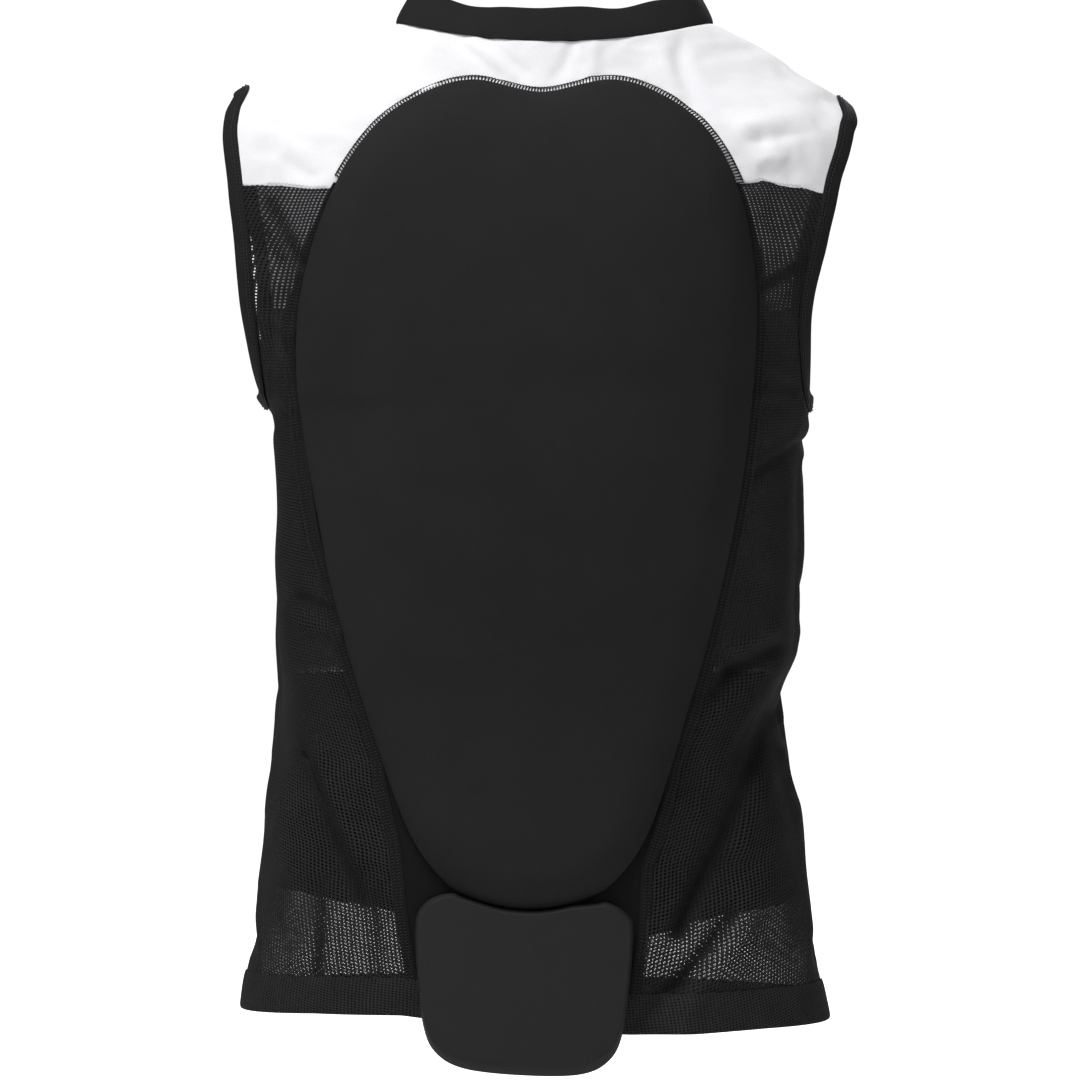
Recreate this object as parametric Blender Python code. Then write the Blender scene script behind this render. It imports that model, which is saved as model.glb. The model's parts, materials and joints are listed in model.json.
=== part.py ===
"""A sleeveless vest that carries a foam back protector, in the form that it has when worn.

Metres. +X is the wearer's right, +Y the wearer's front and +Z up, so the back faces -Y.
The origin is the middle of the neck hole, at the height where the shoulders carry the vest.
The cloth is one surface, lofted through the rows of sections below. Each panel is that
surface, given its wall and cut along its seams.
"""

import collections
import math

import bmesh
import bpy
from mathutils import Vector

# Lengths down the side of the vest
SHOULDER_DROP = 0.0445
ARMHOLE_HEIGHT = 0.2075
TRUNK_LENGTH = 0.418
HEM_HEIGHT = 0.026
COLLAR_HEIGHT = 0.019

# Half widths and depths of the worn form
NECK_HALF_WIDTH = 0.1065
SHOULDER_HALF_WIDTH = 0.215
CHEST_HALF_WIDTH = 0.1825
NECK_BACK_DEPTH = 0.066
NECK_FRONT_DEPTH = 0.075
CHEST_BACK_DEPTH = 0.118
CHEST_FRONT_DEPTH = 0.116
FRONT_NECK_DROP = 0.060
BACK_NECK_DROP = 0.015
COLLAR_LEAN = 0.0085

# Walls, and the gap that every seam keeps
CLOTH = 0.0016
DOUBLE_CLOTH = 0.0024
BINDING_WALL = 0.0030
BELT_WALL = 0.0020
SEAM_GAP = 0.0003
BELT_CLEARANCE = 0.0008

# Armholes, seen from the side
ARMHOLE_HALF_WIDTH = 0.058
ARMHOLE_FORWARD = 0.003
ARMHOLE_SQUARENESS = 2.3
BINDING_WIDTH = 0.0085
ARMHOLE_FACETS = 36
PLUG_INWARDS = 0.012
PLUG_OUTWARDS = 0.040

# Yoke, the white cloth over the shoulders
YOKE_BACK_LENGTH = 0.115
YOKE_FRONT_LENGTH = 0.190

# Back pad
PAD_LENGTH = 0.546
PAD_HALF_WIDTH = 0.152
PAD_TOP_DROP = 0.047
PAD_TOP_ACROSS = 0.001
PAD_LEAN = -0.0075
PAD_BOW = -0.0058
PAD_THICKNESS = 0.016
PAD_RIM = 0.005
PAD_EDGE_RADIUS = 0.020
PAD_POINTS = 46
PAD_SINK = 0.012

# Tail pad, the flap below the back pad
TAIL_LENGTH = 0.121
TAIL_HALF_WIDTH = 0.0715
TAIL_THICKNESS = 0.0095
TAIL_FLANGE = 0.007
TAIL_FLANGE_WALL = 0.0035
TAIL_TUCK = 0.012
TAIL_ACROSS = -0.0100
TAIL_CLEARANCE = 0.0006

# Cloth below the back pad, between its two long seams
LOWER_PANEL_TOP_HALF = 0.104
LOWER_PANEL_HEM_HALF = 0.0775

# Waist belt inside the cloth, and the front zip
BELT_HEIGHT = 0.146
BELT_ABOVE_HEM = 0.085
ZIP_HALF_WIDTH = 0.011
ZIP_WALL = 0.0030
SLIDER_LENGTH = 0.020
SLIDER_HALF_WIDTH = 0.0050
SLIDER_HEIGHT = 0.0045

Section = collections.namedtuple("Section", "down half shift back front square back_drop front_drop tilt")

# down is a share of SHOULDER_DROP from the neck seam. half goes from the neck's half width at 0
# to the shoulder tip's at 1, and back and front from the neck's depth to the chest's. shift and
# tilt are shares of CHEST_HALF_WIDTH, and the two drops are shares of the neck's own drops.
SLOPE = (
    Section(0.00, 0.000, 0.054, 0.00, 0.00, 2.10, 1.00, 1.00, 0.000),
    Section(0.24, 0.240, 0.034, 0.08, 0.10, 2.10, 1.07, 0.97, 0.000),
    Section(0.49, 0.448, 0.030, 0.17, 0.22, 2.10, 1.13, 0.90, 0.000),
    Section(0.75, 0.680, 0.024, 0.29, 0.34, 2.05, 1.20, 0.83, 0.006),
)
# down is a share of ARMHOLE_HEIGHT from the shoulder tip, and half of SHOULDER_HALF_WIDTH.
ARM = (
    Section(0.00, 0.965, 0.006, 0.40, 0.46, 2.25, 1.20, 0.77, 0.022),
    Section(0.10, 1.003, 0.000, 0.58, 0.63, 2.70, 0.95, 0.60, 0.020),
    Section(0.20, 1.008, -0.008, 0.71, 0.76, 2.80, 0.66, 0.45, 0.012),
    Section(0.35, 0.989, -0.024, 0.85, 0.88, 2.80, 0.30, 0.22, 0.004),
    Section(0.50, 0.960, -0.030, 0.93, 0.95, 2.75, 0.10, 0.08, 0.000),
    Section(0.70, 0.928, -0.033, 0.98, 1.00, 2.70, 0.00, 0.00, 0.000),
    Section(0.86, 0.902, -0.030, 1.00, 1.00, 2.55, 0.00, 0.00, 0.000),
)
# down is a share of TRUNK_LENGTH from the armhole, half and shift of CHEST_HALF_WIDTH,
# and back and front of the chest's depths.
TRUNK = (
    Section(0.000, 1.030, -0.020, 0.990, 0.985, 2.50, 0.0, 0.0, 0.000),
    Section(0.030, 1.000, 0.000, 0.990, 0.990, 2.50, 0.0, 0.0, 0.000),
    Section(0.100, 0.976, -0.005, 0.985, 1.000, 2.55, 0.0, 0.0, 0.000),
    Section(0.180, 0.972, -0.011, 0.960, 0.995, 2.60, 0.0, 0.0, 0.000),
    Section(0.260, 0.978, -0.016, 0.925, 0.980, 2.60, 0.0, 0.0, 0.000),
    Section(0.335, 0.967, -0.019, 0.885, 0.955, 2.60, 0.0, 0.0, 0.000),
    Section(0.410, 0.950, -0.030, 0.845, 0.930, 2.60, 0.0, 0.0, 0.000),
    Section(0.490, 0.926, -0.036, 0.810, 0.905, 2.55, 0.0, 0.0, 0.000),
    Section(0.565, 0.934, -0.041, 0.800, 0.890, 2.50, 0.0, 0.0, 0.000),
    Section(0.645, 0.953, -0.038, 0.810, 0.890, 2.50, 0.0, 0.0, 0.002),
    Section(0.720, 0.967, -0.030, 0.830, 0.900, 2.45, 0.0, 0.0, 0.004),
    Section(0.800, 0.999, -0.029, 0.850, 0.915, 2.40, 0.0, 0.0, 0.008),
    Section(0.880, 1.033, -0.025, 0.860, 0.920, 2.35, 0.0, 0.0, 0.012),
    Section(0.955, 1.074, -0.022, 0.868, 0.920, 2.30, 0.0, 0.0, 0.016),
    Section(1.000, 1.092, -0.018, 0.870, 0.920, 2.30, 0.0, 0.0, 0.018),
)

Fold = collections.namedtuple("Fold", "side x1 down1 x2 down2 width depth")

# Creases of the cloth. side is -1 for the back and 1 for the front. x1, x2 are shares of
# CHEST_HALF_WIDTH and down1, down2 of the whole length. width is a share of ARMHOLE_HALF_WIDTH,
# and depth, outwards if above 0, of PAD_THICKNESS.
FOLDS = (
    Fold(-1, 0.88, 0.73, 0.40, 0.99, 0.28, -0.42),
    Fold(-1, 0.97, 0.78, 0.56, 1.00, 0.34, 0.40),
    Fold(-1, 0.94, 0.63, 0.62, 0.70, 0.30, 0.34),
    Fold(-1, 0.92, 0.68, 0.60, 0.77, 0.26, -0.26),
    Fold(-1, -0.93, 0.70, -0.62, 0.89, 0.26, -0.32),
    Fold(-1, -0.98, 0.78, -0.72, 0.97, 0.34, 0.34),
    Fold(-1, -0.96, 0.42, -0.82, 0.52, 0.26, 0.22),
    Fold(-1, -1.10, 0.19, -0.86, 0.28, 0.20, -0.26),
    Fold(-1, -1.12, 0.25, -0.90, 0.35, 0.20, 0.24),
    Fold(-1, 1.08, 0.20, 0.90, 0.34, 0.20, -0.26),
    Fold(-1, 1.12, 0.16, 0.84, 0.14, 0.20, 0.24),
    Fold(1, 0.80, 0.36, 0.30, 0.52, 0.34, 0.26),
    Fold(1, -0.80, 0.40, -0.28, 0.58, 0.34, 0.26),
    Fold(1, 0.85, 0.66, 0.25, 0.86, 0.34, -0.26),
    Fold(1, -0.85, 0.70, -0.30, 0.90, 0.34, 0.26),
)

OutlinePoint = collections.namedtuple("OutlinePoint", "across down")

# Right half of the pad's outline, from the notch in its top edge to its foot.
PAD_OUTLINE = (
    OutlinePoint(0.000, 0.016),
    OutlinePoint(0.300, 0.000),
    OutlinePoint(0.515, 0.017),
    OutlinePoint(0.708, 0.057),
    OutlinePoint(0.874, 0.130),
    OutlinePoint(0.972, 0.225),
    OutlinePoint(1.000, 0.325),
    OutlinePoint(0.962, 0.440),
    OutlinePoint(0.885, 0.563),
    OutlinePoint(0.783, 0.683),
    OutlinePoint(0.654, 0.803),
    OutlinePoint(0.513, 0.911),
    OutlinePoint(0.350, 0.971),
    OutlinePoint(0.180, 0.993),
    OutlinePoint(0.000, 1.000),
)

# Right half of the tail pad's outline, from the top of its middle to its foot.
TAIL_OUTLINE = (
    OutlinePoint(0.00, 0.00),
    OutlinePoint(0.45, 0.00),
    OutlinePoint(0.80, 0.00),
    OutlinePoint(0.96, 0.07),
    OutlinePoint(1.00, 0.20),
    OutlinePoint(0.97, 0.48),
    OutlinePoint(0.90, 0.76),
    OutlinePoint(0.78, 0.90),
    OutlinePoint(0.52, 0.98),
    OutlinePoint(0.00, 1.00),
)

# How the two ends of each facet row are spread: few under the pad and the zip, more in the mesh.
SIDE_COLUMNS = 10
BACK_COLUMNS = 8
FRONT_COLUMNS = 6
SIDE_BACK_TURN = 62.0
SIDE_FRONT_TURN = 35.0
ROW_SPACING = 0.0225
SLOPE_SPACING = 0.014

SHOULDER_TIP_DOWN = SHOULDER_DROP
ARMHOLE_BOTTOM_DOWN = SHOULDER_DROP + ARMHOLE_HEIGHT
BODY_LENGTH = ARMHOLE_BOTTOM_DOWN + TRUNK_LENGTH
FAR = 0.5

Ring = collections.namedtuple("Ring", "down half shift back front square back_drop front_drop tilt run")


def rings():
    """Every section in metres, from the neck seam to the hem, with the length run down the side."""
    found = []
    tip_half = ARM[0].half * SHOULDER_HALF_WIDTH
    for rows, top, length in (
        (SLOPE, 0.0, SHOULDER_DROP),
        (ARM, SHOULDER_TIP_DOWN, ARMHOLE_HEIGHT),
        (TRUNK, ARMHOLE_BOTTOM_DOWN, TRUNK_LENGTH),
    ):
        for row in rows:
            if rows is SLOPE:
                half = NECK_HALF_WIDTH + row.half * (tip_half - NECK_HALF_WIDTH)
            elif rows is ARM:
                half = row.half * SHOULDER_HALF_WIDTH
            else:
                half = row.half * CHEST_HALF_WIDTH
            if rows is TRUNK:
                back = row.back * CHEST_BACK_DEPTH
                front = row.front * CHEST_FRONT_DEPTH
            else:
                back = NECK_BACK_DEPTH + row.back * (CHEST_BACK_DEPTH - NECK_BACK_DEPTH)
                front = NECK_FRONT_DEPTH + row.front * (CHEST_FRONT_DEPTH - NECK_FRONT_DEPTH)
            down = top + row.down * length
            run = 0.0
            if found:
                last = found[-1]
                run = last.run + math.hypot(down - last.down, half - last.half)
            found.append(
                Ring(
                    down,
                    half,
                    row.shift * CHEST_HALF_WIDTH,
                    back,
                    front,
                    row.square,
                    row.back_drop * BACK_NECK_DROP,
                    row.front_drop * FRONT_NECK_DROP,
                    row.tilt * CHEST_HALF_WIDTH,
                    run,
                )
            )
    return found


RINGS = rings()
WHOLE_RUN = RINGS[-1].run


def slope_at(index, column):
    """How fast a column of RINGS changes at a ring. It is 0 at a peak, so nothing overshoots."""
    before = RINGS[max(index - 1, 0)]
    here = RINGS[index]
    after = RINGS[min(index + 1, len(RINGS) - 1)]
    rises = []
    for low, high in ((before, here), (here, after)):
        if high.run > low.run:
            rises.append((getattr(high, column) - getattr(low, column)) / (high.run - low.run))
    if len(rises) == 1:
        return rises[0]
    if rises[0] * rises[1] <= 0:
        return 0.0
    return 2 * rises[0] * rises[1] / (rises[0] + rises[1])


SLOPES = [{column: slope_at(i, column) for column in Ring._fields} for i in range(len(RINGS))]


def ring_at(run):
    """The section that lies this far down the run, on a smooth curve through RINGS."""
    run = min(max(run, 0.0), WHOLE_RUN)
    index = max(i for i in range(len(RINGS) - 1) if RINGS[i].run <= run)
    low, high = RINGS[index], RINGS[index + 1]
    span = high.run - low.run
    s = (run - low.run) / span
    values = []
    for column in Ring._fields:
        a, b = getattr(low, column), getattr(high, column)
        slope_a, slope_b = SLOPES[index][column], SLOPES[index + 1][column]
        values.append(
            a * (2 * s**3 - 3 * s**2 + 1)
            + b * (3 * s**2 - 2 * s**3)
            + slope_a * span * (s**3 - 2 * s**2 + s)
            + slope_b * span * (s**3 - s**2)
        )
    return Ring(*values)


def run_at_down(down):
    """The run at which the side of the vest is this far below the neck seam."""
    low, high = 0.0, WHOLE_RUN
    for _ in range(40):
        middle = (low + high) / 2
        if ring_at(middle).down < down:
            low = middle
        else:
            high = middle
    return (low + high) / 2


def signed_power(value, power):
    return math.copysign(abs(value) ** power, value)


def plain_point(turn, run):
    """A point of the smooth form. turn is 0 at the right side and 90 at the front, in degrees."""
    ring = ring_at(run)
    across, along = math.cos(math.radians(turn)), math.sin(math.radians(turn))
    x = ring.half * signed_power(across, 2 / ring.square)
    depth, drop = (ring.front, ring.front_drop) if along > 0 else (ring.back, ring.back_drop)
    y = depth * signed_power(along, 2 / ring.square)
    z = -ring.down - drop * along * along - ring.tilt * x / ring.half
    return Vector((x + ring.shift, y, z))


def fold_depth(point):
    """How far the creases push the cloth outwards at a point of the smooth form."""
    total = 0.0
    for fold in FOLDS:
        if fold.side * point.y < 0:
            continue
        start = Vector((fold.x1 * CHEST_HALF_WIDTH, -fold.down1 * BODY_LENGTH))
        end = Vector((fold.x2 * CHEST_HALF_WIDTH, -fold.down2 * BODY_LENGTH))
        way = end - start
        offset = Vector((point.x, point.z)) - start
        along = offset.dot(way) / way.length_squared
        beyond = max(0.0, -along, along - 1.0) * way.length
        aside = abs(offset.x * way.y - offset.y * way.x) / way.length
        reach = fold.width * ARMHOLE_HALF_WIDTH
        total += fold.depth * PAD_THICKNESS * math.exp(-(aside**2 + beyond**2) / reach**2)
    return total


def surface(turn, run):
    """(point, outward normal) of the cloth's middle surface, with its creases."""
    step = 0.5
    here = plain_point(turn, run)
    around = plain_point(turn + step, run) - plain_point(turn - step, run)
    downwards = plain_point(turn, run + 0.002) - plain_point(turn, run - 0.002)
    normal = downwards.cross(around).normalized()
    return here + normal * fold_depth(here), normal


def turns():
    """The turns of the facet columns, in degrees, once round the vest."""
    corners = (
        (-SIDE_BACK_TURN, SIDE_FRONT_TURN, SIDE_COLUMNS),
        (SIDE_FRONT_TURN, 180 - SIDE_FRONT_TURN, FRONT_COLUMNS),
        (180 - SIDE_FRONT_TURN, 180 + SIDE_BACK_TURN, SIDE_COLUMNS),
        (180 + SIDE_BACK_TURN, 360 - SIDE_BACK_TURN, BACK_COLUMNS),
    )
    found = []
    for first, last, count in corners:
        found += [first + (last - first) * i / count for i in range(count)]
    return found


def facet_runs():
    """The runs of the facet rows of the whole vest, closer together on the shoulders."""
    tip = run_at_down(SHOULDER_TIP_DOWN)
    slope_rows = round(tip / SLOPE_SPACING)
    other_rows = round((WHOLE_RUN - tip) / ROW_SPACING)
    found = [tip * i / slope_rows for i in range(slope_rows)]
    return found + [tip + (WHOLE_RUN - tip) * i / other_rows for i in range(other_rows + 1)]


FACET_RUNS = facet_runs()
FACETS = [[surface(turn, run) for turn in turns()] for run in FACET_RUNS]


def facet_row(run):
    """(point, way outwards) once round the vest, on the flat facets, at a run between two rows."""
    index = max(i for i in range(len(FACET_RUNS) - 1) if FACET_RUNS[i] <= run + 1e-9)
    share = (run - FACET_RUNS[index]) / (FACET_RUNS[index + 1] - FACET_RUNS[index])
    pairs = zip(FACETS[index], FACETS[index + 1])
    return [(a.lerp(b, share), m.lerp(n, share)) for (a, m), (b, n) in pairs]


def nearest_row(run):
    """The facet row nearest a run. A piece that lies under the cloth ends on one, so they nest."""
    return min(FACET_RUNS, key=lambda row: abs(row - run))


def runs_between(top, bottom):
    """The facet rows between two runs, with a row at each end."""
    return [top] + [run for run in FACET_RUNS if top + CLOTH / 8 < run < bottom - CLOTH / 8] + [bottom]


def add_object(name, mesh_source, cloth=None):
    """An object from a finished bmesh, with its faces pointing outwards."""
    bmesh.ops.recalc_face_normals(mesh_source, faces=mesh_source.faces)
    bmesh.ops.triangulate(mesh_source, faces=mesh_source.faces)
    mesh = bpy.data.meshes.new(name)
    mesh_source.to_mesh(mesh)
    mesh_source.free()
    made = bpy.data.objects.new(name, mesh)
    bpy.context.scene.collection.objects.link(made)
    if cloth:
        mesh.materials.append(cloth)
    return made


def skin(made, rows):
    """Facets between rows that go once round, every one split the same way, so that skins nest."""
    count = len(rows[0])
    for upper, lower in zip(rows, rows[1:]):
        for i in range(count):
            j = (i + 1) % count
            made.faces.new((upper[i], upper[j], lower[j]))
            made.faces.new((upper[i], lower[j], lower[i]))


def wall_from_rows(outer, inner, name, cloth):
    """A closed wall between two grids of points. Each row of a grid goes once round."""
    made = bmesh.new()
    grids = [[[made.verts.new(point) for point in row] for row in grid] for grid in (outer, inner)]
    count = len(outer[0])
    for grid in grids:
        skin(made, grid)
    for edge in (0, -1):
        for i in range(count):
            j = (i + 1) % count
            made.faces.new((grids[0][edge][i], grids[0][edge][j], grids[1][edge][j], grids[1][edge][i]))
    return add_object(name, made, cloth)


def cloth_wall(name, top, bottom, wall, inwards, cloth):
    """The part of the vest's surface between two runs, as a closed wall. inwards sets it inside."""
    outer, inner = [], []
    for run in runs_between(top, bottom):
        outer.append([])
        inner.append([])
        for point, normal in facet_row(run):
            outer[-1].append(point + normal * (wall / 2 - inwards))
            inner[-1].append(point - normal * (wall / 2 + inwards))
    return wall_from_rows(outer, inner, name, cloth)


def prism(name, outline, axis, low, high, cloth=None):
    """An outline pushed along an axis. The outline's pairs are the other two axes."""
    made = bmesh.new()
    loops = []
    for level in (low, high):
        loop = []
        for first, second in outline:
            place = (level, first, second) if axis == "x" else (first, level, second)
            loop.append(made.verts.new(place))
        loops.append(loop)
        made.faces.new(loop)
    for i in range(len(outline)):
        j = (i + 1) % len(outline)
        made.faces.new((loops[0][i], loops[0][j], loops[1][j], loops[1][i]))
    return add_object(name, made, cloth)


def cutter(body):
    """Marks a body as one that only cuts others."""
    body.hide_render = True
    body.display_type = "WIRE"
    return body


def body_solid(name, outwards):
    """The whole vest filled in and carried on below its hem, its surface this far outwards."""
    made = bmesh.new()
    rows = []
    for run in runs_between(0.0, WHOLE_RUN):
        row = []
        for point, normal in facet_row(run):
            row.append(made.verts.new(point + normal * outwards))
        rows.append(row)
    rows.append([made.verts.new(v.co + Vector((0, 0, -TAIL_LENGTH))) for v in rows[-1]])
    skin(made, rows)
    count = len(rows[0])
    for row in (rows[0], rows[-1]):
        middle = made.verts.new(sum((v.co for v in row), Vector()) / count)
        for i in range(count):
            made.faces.new((row[i], row[(i + 1) % count], middle))
    return cutter(add_object(name, made))


def combine(piece, operation, other):
    """Cuts a piece with another body, keeps only what they share, or joins the two."""
    modifier = piece.modifiers.new(f"{operation.lower()} {other.name}", "BOOLEAN")
    modifier.operation = operation
    modifier.solver = "EXACT"
    modifier.object = other
    return piece


def curve_through(points, steps, closed):
    """Points on a smooth curve through a few given ones, steps to each stretch."""
    found = []
    count = len(points)
    for i in range(count if closed else count - 1):
        near = [points[(i + k) % count if closed else min(max(i + k, 0), count - 1)] for k in (-1, 0, 1, 2)]
        for step in range(steps):
            s = step / steps
            found.append(
                tuple(
                    0.5
                    * (
                        2 * b
                        + (c - a) * s
                        + (2 * a - 5 * b + 4 * c - d) * s**2
                        + (3 * b - a - 3 * c + d) * s**3
                    )
                    for a, b, c, d in zip(*near)
                )
            )
    return found if closed else found + [tuple(points[-1])]


def evenly(points, count):
    """The same closed outline with its points evenly spaced."""
    loop = [Vector(p) for p in points] + [Vector(points[0])]
    lengths = [0.0]
    for a, b in zip(loop, loop[1:]):
        lengths.append(lengths[-1] + (b - a).length)
    found = []
    for i in range(count):
        wanted = lengths[-1] * i / count
        k = max(n for n in range(len(loop) - 1) if lengths[n] <= wanted)
        share = (wanted - lengths[k]) / (lengths[k + 1] - lengths[k])
        found.append(tuple(loop[k].lerp(loop[k + 1], share)))
    return found


def grown(points, by):
    """A closed outline moved outwards, or inwards if by is below 0."""
    area = sum(a[0] * b[1] - b[0] * a[1] for a, b in zip(points, points[1:] + points[:1]))
    found = []
    for i, here in enumerate(points):
        before, after = points[i - 1], points[(i + 1) % len(points)]
        way = Vector((after[0] - before[0], after[1] - before[1])).normalized()
        out = Vector((way.y, -way.x)) * math.copysign(1, area)
        found.append((here[0] + out.x * by, here[1] + out.y * by))
    return found


def whole_outline(half_outline):
    """Both halves of an outline that is given from the top of its middle to its foot."""
    mirrored = [OutlinePoint(-p.across, p.down) for p in reversed(half_outline[1:-1])]
    return list(half_outline) + mirrored


def pad_outline(count=PAD_POINTS):
    """The back pad's outline as (x, z), seen from behind."""
    points = []
    for p in curve_through(whole_outline(PAD_OUTLINE), 6, True):
        bow = PAD_BOW * math.sin(math.pi * min(max(p[1], 0.0), 1.0))
        x = p[0] * PAD_HALF_WIDTH + PAD_TOP_ACROSS + PAD_LEAN * p[1] + bow
        points.append((x, -PAD_TOP_DROP - p[1] * PAD_LENGTH))
    return evenly(points, count)


def tail_top():
    """How far below the neck seam the tail pad begins, tucked up under the back pad's foot."""
    return PAD_TOP_DROP + PAD_LENGTH - TAIL_TUCK


def tail_outline(count=40):
    """The tail pad's outline as (x, z), before its top is cut along the back pad's foot."""
    points = []
    for p in curve_through(whole_outline(TAIL_OUTLINE), 6, True):
        points.append((p[0] * TAIL_HALF_WIDTH + TAIL_ACROSS, -tail_top() - p[1] * TAIL_LENGTH))
    return evenly(points, count)


def armhole_edge(side):
    """(point, normal, way off the hole) at each place round an armhole's edge."""
    top = run_at_down(SHOULDER_TIP_DOWN)
    bottom = run_at_down(ARMHOLE_BOTTOM_DOWN)
    found = []
    for i in range(ARMHOLE_FACETS):
        angle = 2 * math.pi * i / ARMHOLE_FACETS
        rise = signed_power(math.sin(angle), 2 / ARMHOLE_SQUARENESS)
        run = (top + bottom) / 2 - rise * (bottom - top) / 2
        y = ARMHOLE_FORWARD + ARMHOLE_HALF_WIDTH * signed_power(math.cos(angle), 2 / ARMHOLE_SQUARENESS)
        ring = ring_at(run)
        depth = ring.front if y > 0 else ring.back
        turn = math.degrees(math.asin(min(abs(y) / depth, 0.98) ** (ring.square / 2)))
        turn = math.copysign(turn, y)
        found.append(surface(turn if side == "right" else 180 - turn, run))
    edge = []
    for i, (point, normal) in enumerate(found):
        along = found[(i + 1) % ARMHOLE_FACETS][0] - found[i - 1][0]
        off = along.cross(normal).normalized()
        middle = sum((p for p, _ in found), Vector()) / ARMHOLE_FACETS
        if off.dot(point - middle) < 0:
            off = -off
        edge.append((point, normal, off))
    return edge


def ring_body(name, loops, closed, cloth=None):
    """A body through loops of points. If closed the last joins the first, or else both get caps."""
    made = bmesh.new()
    grid = [[made.verts.new(point) for point in loop] for loop in loops]
    skin(made, grid + grid[:1] if closed else grid)
    if not closed:
        for loop in (grid[0], grid[-1]):
            middle = made.verts.new(sum((v.co for v in loop), Vector()) / len(loop))
            for i, here in enumerate(loop):
                made.faces.new((here, loop[(i + 1) % len(loop)], middle))
    return add_object(name, made, cloth)


def back_y(x, z):
    """The y of the smooth form's back at a place seen from behind."""
    low, high = 0.0, WHOLE_RUN
    for _ in range(30):
        middle = (low + high) / 2
        ring = ring_at(middle)
        share = min(abs(x - ring.shift) / ring.half, 1.0)
        along = 1 - share**ring.square
        if -ring.down - ring.back_drop * along > z:
            low = middle
        else:
            high = middle
    ring = ring_at((low + high) / 2)
    share = min(abs(x - ring.shift) / ring.half, 0.995)
    return -ring.back * (1 - share**ring.square) ** (1 / ring.square)


def front_profile():
    """(y, z) of the middle of the front, from the hem to the collar's top edge."""
    found = []
    for run in reversed(runs_between(0.0, WHOLE_RUN)):
        point = plain_point(90, run)
        found.append((point.y, point.z))
    neck_y, neck_z = found[-1]
    found.append((neck_y - COLLAR_LEAN, neck_z + COLLAR_HEIGHT))
    return found


def material(name, colour, roughness):
    made = bpy.data.materials.new(name)
    made.use_nodes = True
    shader = made.node_tree.nodes["Principled BSDF"]
    shader.inputs["Base Color"].default_value = (*colour, 1.0)
    shader.inputs["Roughness"].default_value = roughness
    shader.inputs["Metallic"].default_value = 0.0
    return made


def seam_cutters():
    """The bodies that part the panels from each other."""
    yoke_low = -YOKE_BACK_LENGTH
    yoke_front_low = -YOKE_FRONT_LENGTH
    step_back = ARMHOLE_FORWARD - ARMHOLE_HALF_WIDTH / 4
    step_front = ARMHOLE_FORWARD + ARMHOLE_HALF_WIDTH / 4

    def side_box(low, high):
        return [(low, -2 * FAR), (high, -2 * FAR), (high, FAR), (low, FAR)]

    def above(gap):
        return [
            (-FAR, yoke_low + gap),
            (step_back, yoke_low + gap),
            (step_front, yoke_front_low + gap),
            (FAR, yoke_front_low + gap),
            (FAR, FAR),
            (-FAR, FAR),
        ]

    hem_z = -BODY_LENGTH - FAR
    top_z = -PAD_TOP_DROP - 0.75 * PAD_LENGTH
    centre = PAD_TOP_ACROSS + PAD_LEAN

    def lower_panel(gap):
        return [
            (centre - LOWER_PANEL_TOP_HALF - gap, top_z),
            (TAIL_ACROSS - LOWER_PANEL_HEM_HALF - gap, -BODY_LENGTH),
            (TAIL_ACROSS - LOWER_PANEL_HEM_HALF - gap, hem_z),
            (TAIL_ACROSS + LOWER_PANEL_HEM_HALF + gap, hem_z),
            (TAIL_ACROSS + LOWER_PANEL_HEM_HALF + gap, -BODY_LENGTH),
            (centre + LOWER_PANEL_TOP_HALF + gap, top_z),
        ]

    zip_half = ZIP_HALF_WIDTH + SEAM_GAP
    found = {
        "yoke": prism("cut yoke", above(SEAM_GAP / 2), "x", -FAR, FAR),
        "mesh top": prism("cut mesh top", above(-SEAM_GAP / 2), "x", -FAR, FAR),
        "pad": prism("cut pad", grown(pad_outline(), SEAM_GAP), "y", -FAR, 0.0),
        "pad foot": prism("cut pad foot", grown(pad_outline(), 2 * SEAM_GAP), "y", -FAR, 0.0),
        "lower panel": prism("cut lower panel", lower_panel(0.0), "y", -FAR, 0.0),
        "lower panel seam": prism("cut lower seam", lower_panel(SEAM_GAP), "y", -FAR, 0.0),
        "zip": prism("cut zip", side_box(-zip_half, zip_half), "y", 0.0, FAR),
        "right": prism("keep right", side_box(0.0, FAR), "y", -FAR, FAR),
        "left": prism("keep left", side_box(-FAR, 0.0), "y", -FAR, FAR),
        "inside": body_solid("cut inside", -CLOTH / 2),
        "outside": body_solid("cut outside", DOUBLE_CLOTH / 2 + TAIL_CLEARANCE),
    }
    for side in ("left", "right"):
        loops = []
        bound = BINDING_WIDTH + SEAM_GAP
        for height in (-PLUG_INWARDS, 0.0, PLUG_OUTWARDS):
            loops.append([p + n * height + off * bound for p, n, off in armhole_edge(side)])
        found[f"armhole {side}"] = ring_body(f"cut armhole {side}", loops, False)
    for body in found.values():
        cutter(body)
    return found


HEM_TOP_RUN = WHOLE_RUN - HEM_HEIGHT


def build_yoke(cutters, cloth):
    """White cloth over both shoulders, cut out round the pad, the armholes and the zip."""
    bottom = run_at_down(YOKE_FRONT_LENGTH) + ROW_SPACING
    piece = cloth_wall("shoulder_yoke", SEAM_GAP, bottom, CLOTH, 0.0, cloth)
    combine(piece, "INTERSECT", cutters["yoke"])
    for name in ("pad", "armhole right", "armhole left", "zip"):
        combine(piece, "DIFFERENCE", cutters[name])


def build_side_mesh(side, cutters, cloth):
    """Open mesh from the pad's edge, round the wearer's side, to the front zip."""
    top = run_at_down(YOKE_BACK_LENGTH) - 2 * ROW_SPACING
    piece = cloth_wall(f"side_mesh_{side}", top, HEM_TOP_RUN - SEAM_GAP, CLOTH, 0.0, cloth)
    combine(piece, "INTERSECT", cutters[side])
    for name in ("mesh top", "pad", "lower panel seam", f"armhole {side}", "zip"):
        combine(piece, "DIFFERENCE", cutters[name])


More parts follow.
